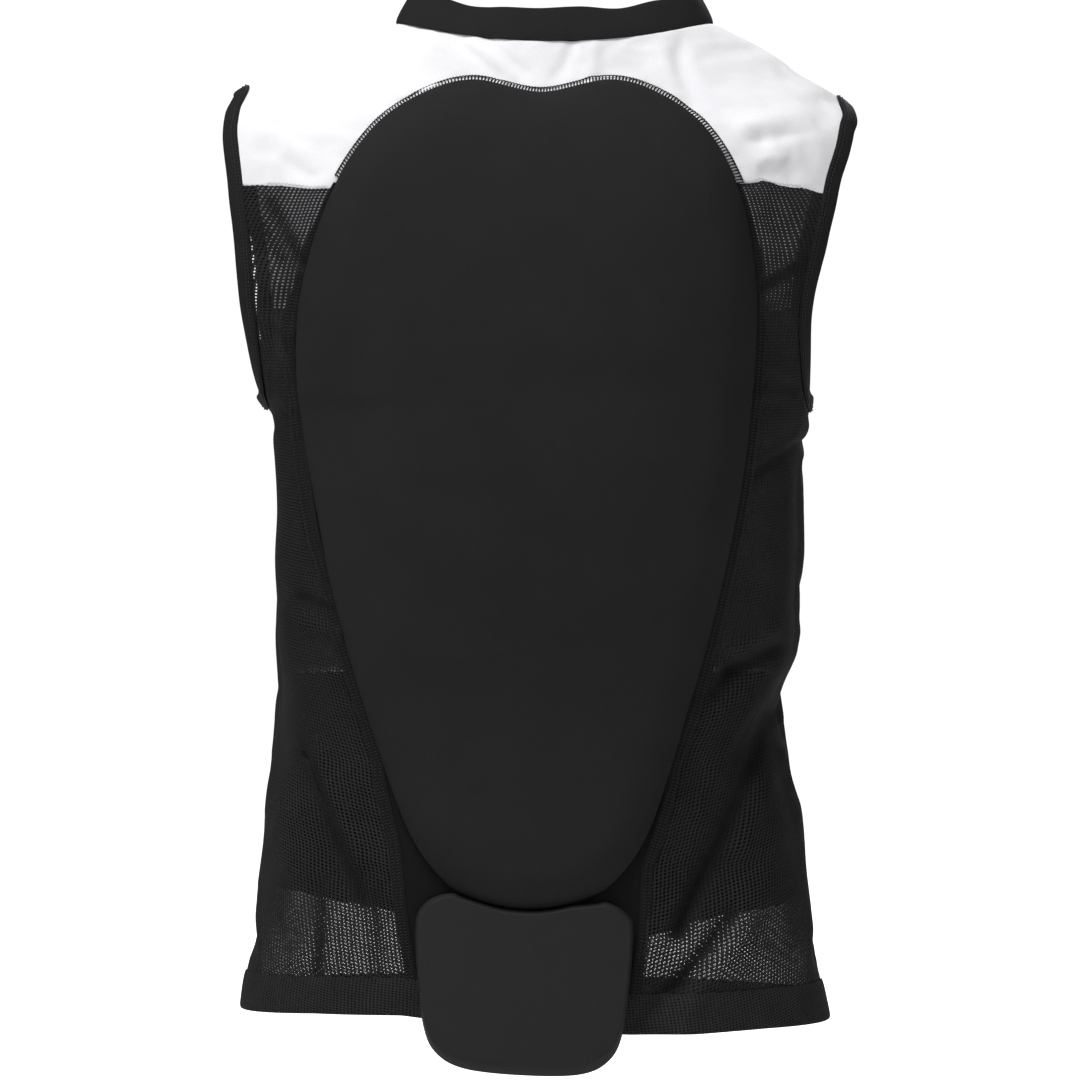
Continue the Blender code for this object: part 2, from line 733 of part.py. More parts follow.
def build_lower_panel(cutters, cloth):
    """Plain cloth from the back pad's foot to the hem, behind the tail pad."""
    top = run_at_down(PAD_TOP_DROP + 0.7 * PAD_LENGTH)
    piece = cloth_wall("lower_back_panel", top, HEM_TOP_RUN - SEAM_GAP, CLOTH, 0.0, cloth)
    combine(piece, "INTERSECT", cutters["lower panel"])
    combine(piece, "DIFFERENCE", cutters["pad"])


def build_hem(cutters, cloth):
    """Doubled cloth round the bottom edge."""
    piece = cloth_wall("hem_band", HEM_TOP_RUN, WHOLE_RUN, DOUBLE_CLOTH, 0.0, cloth)
    combine(piece, "DIFFERENCE", cutters["zip"])


def build_binding(side, cloth):
    """Elastic tape folded over the edge of an armhole."""
    loops = []
    for out, height in ((0, -1), (0, 1), (1, 1), (1, -1)):
        loop = []
        for point, normal, off in armhole_edge(side):
            loop.append(point + off * BINDING_WIDTH * out + normal * BINDING_WALL / 2 * height)
        loops.append(loop)
    ring_body(f"armhole_binding_{side}", loops, True, cloth)


def build_belt(cloth):
    """Wide elastic belt inside the cloth, round the waist."""
    bottom = nearest_row(WHOLE_RUN - BELT_ABOVE_HEM)
    top = nearest_row(WHOLE_RUN - BELT_ABOVE_HEM - BELT_HEIGHT)
    inwards = CLOTH / 2 + BELT_CLEARANCE + BELT_WALL / 2
    cloth_wall("waist_belt", top, bottom, BELT_WALL, inwards, cloth)


def build_collar(cutters, cloth):
    """Short standing collar, doubled cloth, leaning in towards the neck."""
    outer, inner = [], []
    for share in (0.0, 0.5, 1.0):
        outer.append([])
        inner.append([])
        for seam, normal in facet_row(0.0):
            level = Vector((normal.x, normal.y, 0)).normalized()
            lean = COLLAR_LEAN * share**1.3
            foot = SEAM_GAP + CLOTH / 2 * normal.z
            point = seam - level * lean + Vector((0, 0, foot + COLLAR_HEIGHT * share))
            outer[-1].append(point + level * DOUBLE_CLOTH / 2)
            inner[-1].append(point - level * DOUBLE_CLOTH / 2)
    piece = wall_from_rows(outer, inner, "collar", cloth)
    combine(piece, "DIFFERENCE", cutters["zip"])


def domed_pad(name, outline, rings_in, thickness_at, cloth):
    """A domed pad that sinks into the back. rings_in are shares inwards from the outline."""
    middle = (sum(p[0] for p in outline) / len(outline), sum(p[1] for p in outline) / len(outline))

    def face_y(face, x, z, inset):
        if face == "front":
            return back_y(x, z) - thickness_at(inset)
        return back_y(x, z) + PAD_SINK

    made = bmesh.new()
    layers = []
    for face in ("front", "back"):
        loops = []
        for share in rings_in:
            loop = []
            for px, pz in outline:
                x = px + (middle[0] - px) * share
                z = pz + (middle[1] - pz) * share
                inset = share * math.hypot(middle[0] - px, middle[1] - pz)
                loop.append(made.verts.new((x, face_y(face, x, z, inset), z)))
            loops.append(loop)
        pole = made.verts.new((middle[0], face_y(face, *middle, 1.0), middle[1]))
        for outer_loop, inner_loop in zip(loops, loops[1:]):
            for i in range(len(outline)):
                j = (i + 1) % len(outline)
                made.faces.new((outer_loop[i], outer_loop[j], inner_loop[j], inner_loop[i]))
        for i in range(len(outline)):
            j = (i + 1) % len(outline)
            made.faces.new((loops[-1][i], loops[-1][j], pole))
        layers.append(loops[0])
    for i in range(len(outline)):
        j = (i + 1) % len(outline)
        made.faces.new((layers[0][i], layers[0][j], layers[1][j], layers[1][i]))
    return add_object(name, made, cloth)


def rounded(inset, radius, rim, full):
    """A pad's thickness at a distance in from its edge: the rim, a quarter round, then flat."""
    share = min(inset / radius, 1.0)
    return rim + (full - rim) * math.sqrt(1 - (1 - share) ** 2)


def build_back_pad(cutters, cloth):
    """Foam pad under stretched cloth, from the shoulder blades to the small of the back."""

    def thickness_at(inset):
        return rounded(inset, PAD_EDGE_RADIUS, PAD_RIM, PAD_THICKNESS)

    rings_in = (0.0, 0.03, 0.08, 0.20, 0.45, 0.72)
    piece = domed_pad("back_pad", pad_outline(), rings_in, thickness_at, cloth)
    combine(piece, "DIFFERENCE", cutters["inside"])


def build_tail_pad(cutters, cloth):
    """Moulded foam flap over the lower panel, cut along the back pad's foot."""

    def thickness_at(inset):
        if inset < TAIL_FLANGE:
            return TAIL_FLANGE_WALL
        return rounded(inset - TAIL_FLANGE, TAIL_FLANGE, TAIL_FLANGE_WALL, TAIL_THICKNESS)

    piece = domed_pad("tail_pad", tail_outline(), (0.0, 0.09, 0.13, 0.20, 0.50), thickness_at, cloth)
    combine(piece, "DIFFERENCE", cutters["outside"])
    combine(piece, "DIFFERENCE", cutters["pad foot"])


def build_zip(cloth):
    """Closed front zip, tape and teeth in one plain piece, with its slider at the top."""
    profile = front_profile()
    outer, inner = [], []
    for i, (y, z) in enumerate(profile):
        before, after = profile[max(i - 1, 0)], profile[min(i + 1, len(profile) - 1)]
        way = Vector((after[0] - before[0], after[1] - before[1])).normalized()
        outer.append((y + way.y * ZIP_WALL / 2, z - way.x * ZIP_WALL / 2))
        inner.append((y - way.y * ZIP_WALL / 2, z + way.x * ZIP_WALL / 2))
    strip = prism("front_zip", outer + inner[::-1], "x", -ZIP_HALF_WIDTH, ZIP_HALF_WIDTH, cloth)
    top_y, top_z = profile[-1]
    neck_y, neck_z = profile[-2]
    way = Vector((neck_y - top_y, neck_z - top_z)).normalized()
    out = Vector((-way.y, way.x))
    start = Vector((top_y, top_z)) + way * SLIDER_LENGTH * 0.2
    end = start + way * SLIDER_LENGTH
    box = [start, start + out * SLIDER_HEIGHT, end + out * SLIDER_HEIGHT, end]
    slider = prism("slider", [tuple(p) for p in box], "x", -SLIDER_HALF_WIDTH, SLIDER_HALF_WIDTH)
    combine(strip, "UNION", cutter(slider))


def main():
    for old in list(bpy.data.objects):
        bpy.data.objects.remove(old)
    black_knit = material("black knit", (0.020, 0.020, 0.021), 0.85)
    white_knit = material("white knit", (0.86, 0.86, 0.88), 0.80)
    black_mesh = material("black mesh", (0.016, 0.016, 0.017), 0.80)
    elastic = material("black elastic", (0.012, 0.012, 0.013), 0.75)
    foam = material("black foam", (0.024, 0.024, 0.025), 0.70)
    zip_tape = material("black zip", (0.014, 0.014, 0.015), 0.55)
    cutters = seam_cutters()
    build_yoke(cutters, white_knit)
    for side in ("left", "right"):
        build_side_mesh(side, cutters, black_mesh)
        build_binding(side, elastic)
    build_lower_panel(cutters, black_knit)
    build_hem(cutters, black_mesh)
    build_collar(cutters, black_knit)
    build_belt(elastic)
    build_back_pad(cutters, black_knit)
    build_tail_pad(cutters, foam)
    build_zip(zip_tape)


main()
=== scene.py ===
# %% [markdown]
# # A back protector vest, dressed for its picture
#
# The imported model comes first, as a fixed frame. It says how large the vest is and where each
# part of it sits, so that every piece of cloth below can be sewn to the right place. The frame's
# box is kept now, and is written beside the finished vest's box at the end.

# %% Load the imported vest
import collections
import json
import math

import bmesh
import bpy
import numpy as np
from mathutils import Matrix, Vector

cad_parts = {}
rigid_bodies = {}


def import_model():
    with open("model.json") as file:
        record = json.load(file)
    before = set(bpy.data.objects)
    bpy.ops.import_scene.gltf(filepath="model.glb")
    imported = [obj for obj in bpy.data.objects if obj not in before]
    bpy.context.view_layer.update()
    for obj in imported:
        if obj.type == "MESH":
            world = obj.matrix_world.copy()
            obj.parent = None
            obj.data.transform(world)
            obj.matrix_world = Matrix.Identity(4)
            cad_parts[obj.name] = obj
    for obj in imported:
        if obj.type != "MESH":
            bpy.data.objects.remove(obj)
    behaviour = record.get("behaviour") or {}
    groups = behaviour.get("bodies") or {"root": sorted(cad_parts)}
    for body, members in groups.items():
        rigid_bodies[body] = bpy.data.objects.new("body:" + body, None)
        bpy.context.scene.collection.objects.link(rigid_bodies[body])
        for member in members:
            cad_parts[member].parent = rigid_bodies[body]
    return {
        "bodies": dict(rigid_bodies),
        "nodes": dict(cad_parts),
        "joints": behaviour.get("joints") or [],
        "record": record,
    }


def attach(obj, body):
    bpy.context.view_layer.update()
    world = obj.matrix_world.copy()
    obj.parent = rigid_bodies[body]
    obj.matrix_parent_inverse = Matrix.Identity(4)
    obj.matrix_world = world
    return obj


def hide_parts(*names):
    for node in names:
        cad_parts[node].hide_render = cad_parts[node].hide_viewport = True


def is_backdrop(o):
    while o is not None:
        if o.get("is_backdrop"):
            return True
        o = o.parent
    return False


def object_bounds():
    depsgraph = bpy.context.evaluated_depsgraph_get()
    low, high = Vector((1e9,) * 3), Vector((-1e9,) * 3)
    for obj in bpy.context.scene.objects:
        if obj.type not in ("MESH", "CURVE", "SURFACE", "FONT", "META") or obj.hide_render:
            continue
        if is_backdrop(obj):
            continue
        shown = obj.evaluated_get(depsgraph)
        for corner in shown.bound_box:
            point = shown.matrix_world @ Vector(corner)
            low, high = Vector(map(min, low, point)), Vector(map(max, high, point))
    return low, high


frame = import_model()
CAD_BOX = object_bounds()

print("nodes:", ", ".join(sorted(frame["nodes"])))

# %% [markdown]
# The vest is tailored over one smooth form. Its sizes are lengths in metres, +X is the wearer's
# right, +Y the front and +Z up, and the origin is the middle of the neck hole. A tailor would
# call the tables below sections: each row is the vest's outline at one height.

# %% Sizes of the worn form
SHOULDER_DROP = 0.0445
ARMHOLE_HEIGHT = 0.2075
TRUNK_LENGTH = 0.418
HEM_HEIGHT = 0.026
COLLAR_HEIGHT = 0.019
NECK_HALF_WIDTH = 0.1065
SHOULDER_HALF_WIDTH = 0.215
CHEST_HALF_WIDTH = 0.1825
NECK_BACK_DEPTH = 0.066
NECK_FRONT_DEPTH = 0.075
CHEST_BACK_DEPTH = 0.118
CHEST_FRONT_DEPTH = 0.116
FRONT_NECK_DROP = 0.060
BACK_NECK_DROP = 0.015
COLLAR_LEAN = 0.0085
ARMHOLE_HALF_WIDTH = 0.058
ARMHOLE_FORWARD = 0.003
ARMHOLE_SQUARENESS = 2.3
BINDING_WIDTH = 0.0112
YOKE_BACK_LENGTH = 0.115
YOKE_FRONT_LENGTH = 0.190
PAD_LENGTH = 0.546
PAD_HALF_WIDTH = 0.152
PAD_TOP_DROP = 0.047
PAD_TOP_ACROSS = 0.001
PAD_LEAN = -0.0075
PAD_BOW = -0.0058
PAD_UPPER_LEAN = 0.0032
PAD_THICKNESS = 0.016
TAIL_LENGTH = 0.121
TAIL_HALF_WIDTH = 0.0715
TAIL_TUCK = 0.012
TAIL_ACROSS = -0.0100
BELT_HEIGHT = 0.146
BELT_ABOVE_HEM = 0.085
ZIP_HALF_WIDTH = 0.011
BODY_LENGTH = SHOULDER_DROP + ARMHOLE_HEIGHT + TRUNK_LENGTH

# %% [markdown]
# The form could be one scaled cylinder, but a worn vest narrows, leans and turns squarer on its
# way down. So its sections come in three tables, for the slope of the shoulders, the armholes and
# the trunk. Their numbers are shares of the sizes above, so that a longer trunk keeps its shape.

# %% Sections of the worn form
FIELDS = "down half shift back front square back_drop front_drop tilt"
Section = collections.namedtuple("Section", FIELDS)

# down is a share of SHOULDER_DROP, half goes from the neck's half width to the shoulder tip's.
SLOPE = (
    Section(0.00, 0.000, 0.054, 0.00, 0.00, 2.10, 1.00, 1.00, 0.000),
    Section(0.24, 0.240, 0.034, 0.08, 0.10, 2.10, 1.07, 0.97, 0.000),
    Section(0.49, 0.448, 0.030, 0.17, 0.22, 2.10, 1.13, 0.90, 0.000),
    Section(0.75, 0.680, 0.024, 0.29, 0.34, 2.05, 1.20, 0.83, 0.006),
)
# down is a share of ARMHOLE_HEIGHT, and half of SHOULDER_HALF_WIDTH.
ARM = (
    Section(0.00, 0.965, 0.006, 0.40, 0.46, 2.25, 1.20, 0.77, 0.022),
    Section(0.10, 1.003, 0.000, 0.58, 0.63, 2.70, 0.95, 0.60, 0.020),
    Section(0.20, 1.008, -0.008, 0.71, 0.76, 2.80, 0.66, 0.45, 0.012),
    Section(0.35, 0.989, -0.024, 0.85, 0.88, 2.80, 0.30, 0.22, 0.004),
    Section(0.50, 0.960, -0.030, 0.93, 0.95, 2.75, 0.10, 0.08, 0.000),
    Section(0.70, 0.928, -0.033, 0.98, 1.00, 2.70, 0.00, 0.00, 0.000),
    Section(0.86, 0.902, -0.030, 1.00, 1.00, 2.55, 0.00, 0.00, 0.000),
)
# down is a share of TRUNK_LENGTH, half and shift of CHEST_HALF_WIDTH, and the depths of the chest's.
TRUNK = (
    Section(0.000, 1.030, -0.020, 0.990, 0.985, 2.50, 0.0, 0.0, 0.000),
    Section(0.030, 1.000, 0.000, 0.990, 0.990, 2.50, 0.0, 0.0, 0.000),
    Section(0.100, 0.976, -0.005, 0.985, 1.000, 2.55, 0.0, 0.0, 0.000),
    Section(0.180, 0.972, -0.011, 0.960, 0.995, 2.60, 0.0, 0.0, 0.000),
    Section(0.260, 0.978, -0.016, 0.925, 0.980, 2.60, 0.0, 0.0, 0.000),
    Section(0.335, 0.967, -0.019, 0.885, 0.955, 2.60, 0.0, 0.0, 0.000),
    Section(0.410, 0.950, -0.030, 0.845, 0.930, 2.60, 0.0, 0.0, 0.000),
    Section(0.490, 0.926, -0.036, 0.810, 0.905, 2.55, 0.0, 0.0, 0.000),
    Section(0.565, 0.934, -0.041, 0.800, 0.890, 2.50, 0.0, 0.0, 0.000),
    Section(0.645, 0.953, -0.038, 0.810, 0.890, 2.50, 0.0, 0.0, 0.002),
    Section(0.720, 0.967, -0.030, 0.830, 0.900, 2.45, 0.0, 0.0, 0.004),
    Section(0.800, 0.999, -0.029, 0.850, 0.915, 2.40, 0.0, 0.0, 0.008),
    Section(0.880, 1.033, -0.025, 0.860, 0.920, 2.35, 0.0, 0.0, 0.012),
    Section(0.955, 1.074, -0.022, 0.868, 0.920, 2.30, 0.0, 0.0, 0.016),
    Section(1.000, 1.092, -0.018, 0.870, 0.920, 2.30, 0.0, 0.0, 0.018),
)

# %% [markdown]
# Next the sections are measured in metres and joined by smooth curves. They are not placed by
# height but by run, the length down the side seam, because a tape measure follows the cloth.

# %% Measure the sections along the side seam
Ring = collections.namedtuple("Ring", FIELDS + " run")


def rings():
    """Every section in metres, with the length run down the side from the neck seam."""
    found = []
    tip_half = ARM[0].half * SHOULDER_HALF_WIDTH
    for rows, top, length in (
        (SLOPE, 0.0, SHOULDER_DROP),
        (ARM, SHOULDER_DROP, ARMHOLE_HEIGHT),
        (TRUNK, SHOULDER_DROP + ARMHOLE_HEIGHT, TRUNK_LENGTH),
    ):
        for row in rows:
            if rows is SLOPE:
                half = NECK_HALF_WIDTH + row.half * (tip_half - NECK_HALF_WIDTH)
            else:
                half = row.half * (SHOULDER_HALF_WIDTH if rows is ARM else CHEST_HALF_WIDTH)
            back, front = row.back * CHEST_BACK_DEPTH, row.front * CHEST_FRONT_DEPTH
            if rows is not TRUNK:
                back = NECK_BACK_DEPTH + row.back * (CHEST_BACK_DEPTH - NECK_BACK_DEPTH)
                front = NECK_FRONT_DEPTH + row.front * (CHEST_FRONT_DEPTH - NECK_FRONT_DEPTH)
            down = top + row.down * length
            run = 0.0
            if found:
                run = found[-1].run + math.hypot(down - found[-1].down, half - found[-1].half)
            shift, tilt = row.shift * CHEST_HALF_WIDTH, row.tilt * CHEST_HALF_WIDTH
            drops = (row.back_drop * BACK_NECK_DROP, row.front_drop * FRONT_NECK_DROP)
            found.append(Ring(down, half, shift, back, front, row.square, *drops, tilt, run))
    return found


RINGS = rings()
WHOLE_RUN = RINGS[-1].run
STEP = 0.001
RUNS = np.arange(0.0, WHOLE_RUN + STEP, STEP)


def smooth_column(column):
    """One column of the sections on a smooth curve, every STEP. It never overshoots a peak."""
    runs = np.array([ring.run for ring in RINGS])
    values = np.array([getattr(ring, column) for ring in RINGS])
    rises = np.diff(values) / np.diff(runs)
    slopes = np.empty(len(values))
    slopes[0], slopes[-1] = rises[0], rises[-1]
    for i in range(1, len(values) - 1):
        a, b = rises[i - 1], rises[i]
        slopes[i] = 0.0 if a * b <= 0 else 2 * a * b / (a + b)
    index = np.clip(np.searchsorted(runs, RUNS, "right") - 1, 0, len(runs) - 2)
    span = runs[index + 1] - runs[index]
    s = np.clip((RUNS - runs[index]) / span, 0, 1)
    return (
        values[index] * (2 * s**3 - 3 * s**2 + 1)
        + values[index + 1] * (3 * s**2 - 2 * s**3)
        + slopes[index] * span * (s**3 - 2 * s**2 + s)
        + slopes[index + 1] * span * (s**3 - s**2)
    )


COLUMNS = {column: smooth_column(column) for column in Ring._fields}
print(f"the side seam is {WHOLE_RUN:.3f} m long, from the neck to the hem")

# %% [markdown]
# Two numbers name every place on the cloth: turn, in degrees round the vest, and run, in metres
# down it. All the functions below take arrays, so that a panel of many thousand points is laid
# on the form at once. A superellipse is a circle with squarer or softer shoulders, which is
# close to how a body's outline looks from above.


# %% Lay places on the form
def signed_power(value, power):
    return np.sign(value) * np.abs(value) ** power


def form(turn, run):
    """Points of the smooth form. turn is 0 at the right side and 90 at the front."""
    turn, run = np.broadcast_arrays(np.asarray(turn, float), np.asarray(run, float))
    ring = {name: np.interp(run, RUNS, column) for name, column in COLUMNS.items()}
    across, along = np.cos(np.radians(turn)), np.sin(np.radians(turn))
    ahead = along > 0
    x = ring["half"] * signed_power(across, 2 / ring["square"])
    y = np.where(ahead, ring["front"], ring["back"]) * signed_power(along, 2 / ring["square"])
    drop = np.where(ahead, ring["front_drop"], ring["back_drop"]) * along**2
    below = np.maximum(run - WHOLE_RUN, 0.0)
    z = -ring["down"] - drop - ring["tilt"] * x / ring["half"] - below
    return np.stack([x + ring["shift"], y, z], -1)


def unit(vectors):
    return vectors / np.maximum(np.linalg.norm(vectors, axis=-1, keepdims=True), 1e-12)


def outwards(turn, run):
    """Outward normals of the form."""
    around = form(turn + 0.5, run) - form(turn - 0.5, run)
    down = form(turn, np.minimum(run + 0.002, WHOLE_RUN)) - form(turn, np.maximum(run - 0.002, 0.0))
    return unit(np.cross(down, around))


def run_at(down):
    """The run at which the vest's side is this far below the neck seam."""
    return float(np.interp(down, COLUMNS["down"], RUNS))


TIP_RUN = run_at(SHOULDER_DROP)
ARM_RUN = run_at(SHOULDER_DROP + ARMHOLE_HEIGHT)
HEM_RUN = WHOLE_RUN - HEM_HEIGHT

TURNS = np.arange(-90.0, 270.5, 0.5)


def girths(run):
    """Lengths round the form at one run, at each of TURNS, from the middle of the back."""
    places = form(TURNS, np.full(len(TURNS), float(run)))
    return np.concatenate([[0.0], np.cumsum(np.linalg.norm(np.diff(places, axis=0), axis=1))])


GIRTH_RUNS = np.linspace(0.0, WHOLE_RUN, 140)
GIRTHS = np.array([girths(run) for run in GIRTH_RUNS])


def girth_at(turn, run):
    """Length round the form from the middle of the back, at any places."""
    row = np.clip(np.asarray(run) / WHOLE_RUN * (len(GIRTH_RUNS) - 1), 0, len(GIRTH_RUNS) - 1.001)
    column = np.clip((np.asarray(turn) - TURNS[0]) / 0.5, 0, len(TURNS) - 1.001)
    i, j = row.astype(int), column.astype(int)
    p, q = row - i, column - j
    upper = GIRTHS[i, j] * (1 - q) + GIRTHS[i, j + 1] * q
    lower = GIRTHS[i + 1, j] * (1 - q) + GIRTHS[i + 1, j + 1] * q
    return upper * (1 - p) + lower * p


print(f"chest {GIRTHS[60, -1]:.3f} m round, hem {GIRTHS[-1, -1]:.3f} m round")

# %% [markdown]
# Seen from the side, an armhole is a tall superellipse, from just below the shoulder's tip to the
# armpit. Behind, its edge is pulled outwards a little by the elastic, so that the binding turns
# its face to the back.

# %% Armholes
ARMHOLE_BACK_HALF = 0.076
ARM_TOP_RUN = TIP_RUN + 0.0020
SHOULDER_FALL = 0.0068
ARM_HALF_RUN = (ARM_RUN - ARM_TOP_RUN) / 2
ARM_MIDDLE_RUN = (ARM_RUN + ARM_TOP_RUN) / 2
# The edges as seen from behind: (height, distance from the middle), for the right and the left.
EDGE_SEEN = {
    1: ((-0.250, 0.1800), (-0.218, 0.1800), (-0.190, 0.1800), (-0.163, 0.1884), (-0.1466, 0.1930),
        (-0.118, 0.1974), (-0.0934, 0.2050), (-0.0703, 0.2115), (-0.0593, 0.2125), (-0.045, 0.2070)),
    -1: ((-0.250, 0.1860), (-0.243, 0.1900), (-0.2046, 0.1974), (-0.1433, 0.2040), (-0.1045, 0.2075),
         (-0.085, 0.2115), (-0.0690, 0.2110), (-0.057, 0.2085), (-0.044, 0.2048)),
}


def armhole_edge(side, angle, off=0.0):
    """(turn, run) at angles round an armhole, this far off its edge."""
    half = np.where(np.cos(angle) < 0, ARMHOLE_BACK_HALF, ARMHOLE_HALF_WIDTH) + off
    y = ARMHOLE_FORWARD + half * signed_power(np.cos(angle), 2 / ARMHOLE_SQUARENESS)
    rise = signed_power(np.sin(angle), 2 / ARMHOLE_SQUARENESS)
    run = ARM_MIDDLE_RUN - rise * (ARM_HALF_RUN + off)
    ring = {name: np.interp(run, RUNS, column) for name, column in COLUMNS.items()}
    depth = np.where(y > 0, ring["front"], ring["back"])
    share = np.clip(np.abs(y) / depth, 0, 0.98) ** (ring["square"] / 2)
    turn = np.degrees(np.arcsin(share)) * np.sign(y)
    return (turn if side > 0 else 180 - turn), run


def pulls(side):
    """(heights, pulls) of the elastic at the back edge, so that the edge is where it is seen."""
    edge = form(*armhole_edge(side, np.linspace(0.5, 1.5, 200) * math.pi))
    order = np.argsort(edge[:, 2])
    seen = np.interp(edge[order, 2], *np.array(EDGE_SEEN[side]).T)
    pull = np.clip(seen - edge[order, 0] * side, -0.004, 0.017)
    smooth = np.convolve(np.pad(pull, 12, mode="edge"), np.full(25, 1 / 25), mode="valid")
    return edge[order, 2], smooth


PULLS = {side: pulls(side) for side in (1, -1)}


def off_armholes(turn, run):
    """Metres outside both armholes."""
    y = form(turn, run)[..., 1] - ARMHOLE_FORWARD
    half = np.where(y < 0, ARMHOLE_BACK_HALF, ARMHOLE_HALF_WIDTH)
    across = np.abs(y / half) ** ARMHOLE_SQUARENESS
    along = np.abs((run - ARM_MIDDLE_RUN) / ARM_HALF_RUN) ** ARMHOLE_SQUARENESS
    return ((across + along) ** (1 / ARMHOLE_SQUARENESS) - 1) * half


def flare(places, turn, run):
    """How far the elastic moves the cloth beside an armhole: sideways, and down at the shoulder."""
    off = np.maximum(off_armholes(turn, run), 0)
    right = places[..., 0] > 0
    pull = np.where(right, np.interp(places[..., 2], *PULLS[1]), np.interp(places[..., 2], *PULLS[-1]))
    pull = pull * np.clip(-places[..., 1] / 0.025, 0, 1) * np.exp(-((off / 0.013) ** 2))
    top = np.clip(1 - (run - TIP_RUN) / 0.030, 0, 1) * np.exp(-((off / 0.020) ** 2))
    moves = np.zeros(places.shape)
    moves[..., 0] = np.where(right, pull, -pull)
    moves[..., 2] = -SHOULDER_FALL * top
    return moves


print(f"an armhole is {2 * ARM_HALF_RUN:.3f} m tall")

# %% [markdown]
# Cloth that hangs from two seams folds between them. The long folds of the real vest are rows of
# a table, each a line from one place to another with a width and a height. side is -1 for the
# back and 1 for the front. The numbers are shares: of the chest's half width across, of the
# whole length down, of the armhole's half width for the fold's width and of the pad's
# thickness for its height.

# %% Long folds
Fold = collections.namedtuple("Fold", "side x1 down1 x2 down2 width depth")
FOLDS = (
    Fold(-1, 0.88, 0.73, 0.40, 0.99, 0.28, -0.24),
    Fold(-1, 0.93, 0.80, 0.56, 1.00, 0.34, 0.26),
    Fold(-1, 0.94, 0.63, 0.62, 0.70, 0.30, 0.34),
    Fold(-1, 0.92, 0.68, 0.60, 0.77, 0.26, -0.26),
    Fold(-1, -0.93, 0.74, -0.66, 0.89, 0.26, -0.16),
    Fold(-1, -0.90, 0.80, -0.72, 0.97, 0.34, 0.20),
    Fold(-1, -0.96, 0.42, -0.82, 0.52, 0.26, 0.22),
    Fold(-1, -1.06, 0.20, -0.86, 0.28, 0.14, -0.16),
    Fold(-1, -1.06, 0.25, -0.90, 0.35, 0.16, 0.14),
    Fold(-1, 1.00, 0.22, 0.90, 0.34, 0.16, -0.10),
    Fold(-1, 1.00, 0.16, 0.84, 0.14, 0.16, 0.12),
    Fold(1, 0.80, 0.36, 0.30, 0.52, 0.34, 0.26),
    Fold(1, -0.80, 0.40, -0.28, 0.58, 0.34, 0.26),
    Fold(1, 0.85, 0.66, 0.25, 0.86, 0.34, -0.26),
    Fold(1, -0.85, 0.70, -0.30, 0.90, 0.34, 0.26),
)

# The sharper creases: a valley, mostly with a ridge beside it.
CREASES = (
    Fold(-1, 0.86, 0.700, 0.703, 0.798, 0.10, -0.24),
    Fold(-1, 0.681, 0.812, 0.499, 0.905, 0.10, -0.26),
    Fold(-1, 0.90, 0.735, 0.74, 0.825, 0.13, 0.20),
    Fold(-1, 0.76, 0.690, 0.58, 0.790, 0.12, 0.20),
    Fold(-1, 0.87, 0.630, 0.70, 0.652, 0.09, -0.22),
    Fold(-1, 0.70, 0.652, 0.63, 0.675, 0.09, -0.22),
    Fold(-1, 0.86, 0.610, 0.70, 0.632, 0.10, 0.20),
    Fold(-1, 0.70, 0.893, 0.50, 0.958, 0.07, -0.22),
    Fold(-1, 0.50, 0.958, 0.37, 0.989, 0.08, -0.26),
    Fold(-1, 0.74, 0.905, 0.54, 0.975, 0.09, 0.20),
    Fold(-1, 0.60, 0.858, 0.50, 0.912, 0.07, -0.18),
    Fold(-1, 0.80, 0.275, 0.97, 0.244, 0.06, -0.16),
    Fold(-1, 0.80, 0.380, 0.96, 0.380, 0.07, 0.14),
    Fold(-1, 0.80, 0.455, 0.95, 0.430, 0.08, -0.14),
    Fold(-1, -0.885, 0.735, -0.768, 0.803, 0.07, -0.24),
    Fold(-1, -0.752, 0.813, -0.645, 0.880, 0.07, -0.26),
    Fold(-1, -0.81, 0.740, -0.66, 0.840, 0.12, 0.20),
    Fold(-1, -0.98, 0.185, -0.85, 0.253, 0.06, -0.20),
    Fold(-1, -1.02, 0.205, -0.93, 0.246, 0.05, -0.18),
    Fold(-1, -0.98, 0.300, -0.84, 0.330, 0.07, 0.18),
    Fold(-1, -0.88, 0.578, -0.70, 0.594, 0.07, -0.20),
    Fold(-1, -0.88, 0.604, -0.72, 0.616, 0.07, 0.18),
    Fold(-1, -0.79, 0.860, -0.81, 0.960, 0.06, -0.16),
    Fold(-1, -0.60, 0.870, -0.59, 0.960, 0.05, -0.14),
    # the yoke
    Fold(-1, -0.31, 0.026, -0.15, 0.062, 0.055, -0.12),
    Fold(-1, -0.19, 0.026, -0.06, 0.060, 0.055, -0.14),
    Fold(-1, -0.25, 0.026, -0.10, 0.062, 0.060, 0.10),
    Fold(-1, 0.12, 0.030, 0.07, 0.064, 0.060, -0.16),
    Fold(-1, 0.20, 0.034, 0.18, 0.070, 0.070, 0.10),
    Fold(-1, 0.50, 0.040, 0.56, 0.090, 0.110, -0.12),
    Fold(-1, 0.74, 0.112, 1.08, 0.090, 0.090, 0.20),
    Fold(-1, 0.76, 0.130, 1.10, 0.114, 0.060, -0.20),
    Fold(-1, 0.80, 0.148, 1.06, 0.140, 0.060, 0.16),
    Fold(-1, 0.82, 0.160, 1.06, 0.162, 0.055, -0.18),
    Fold(-1, 0.80, 0.120, 0.82, 0.165, 0.040, -0.10),
    Fold(-1, 0.88, 0.118, 0.90, 0.160, 0.040, -0.10),
    Fold(-1, -1.05, 0.128, -0.82, 0.164, 0.055, -0.14),
    Fold(-1, -1.02, 0.112, -0.84, 0.140, 0.065, 0.10),
    Fold(-1, -0.84, 0.042, -1.10, 0.080, 0.050, -0.08),
)

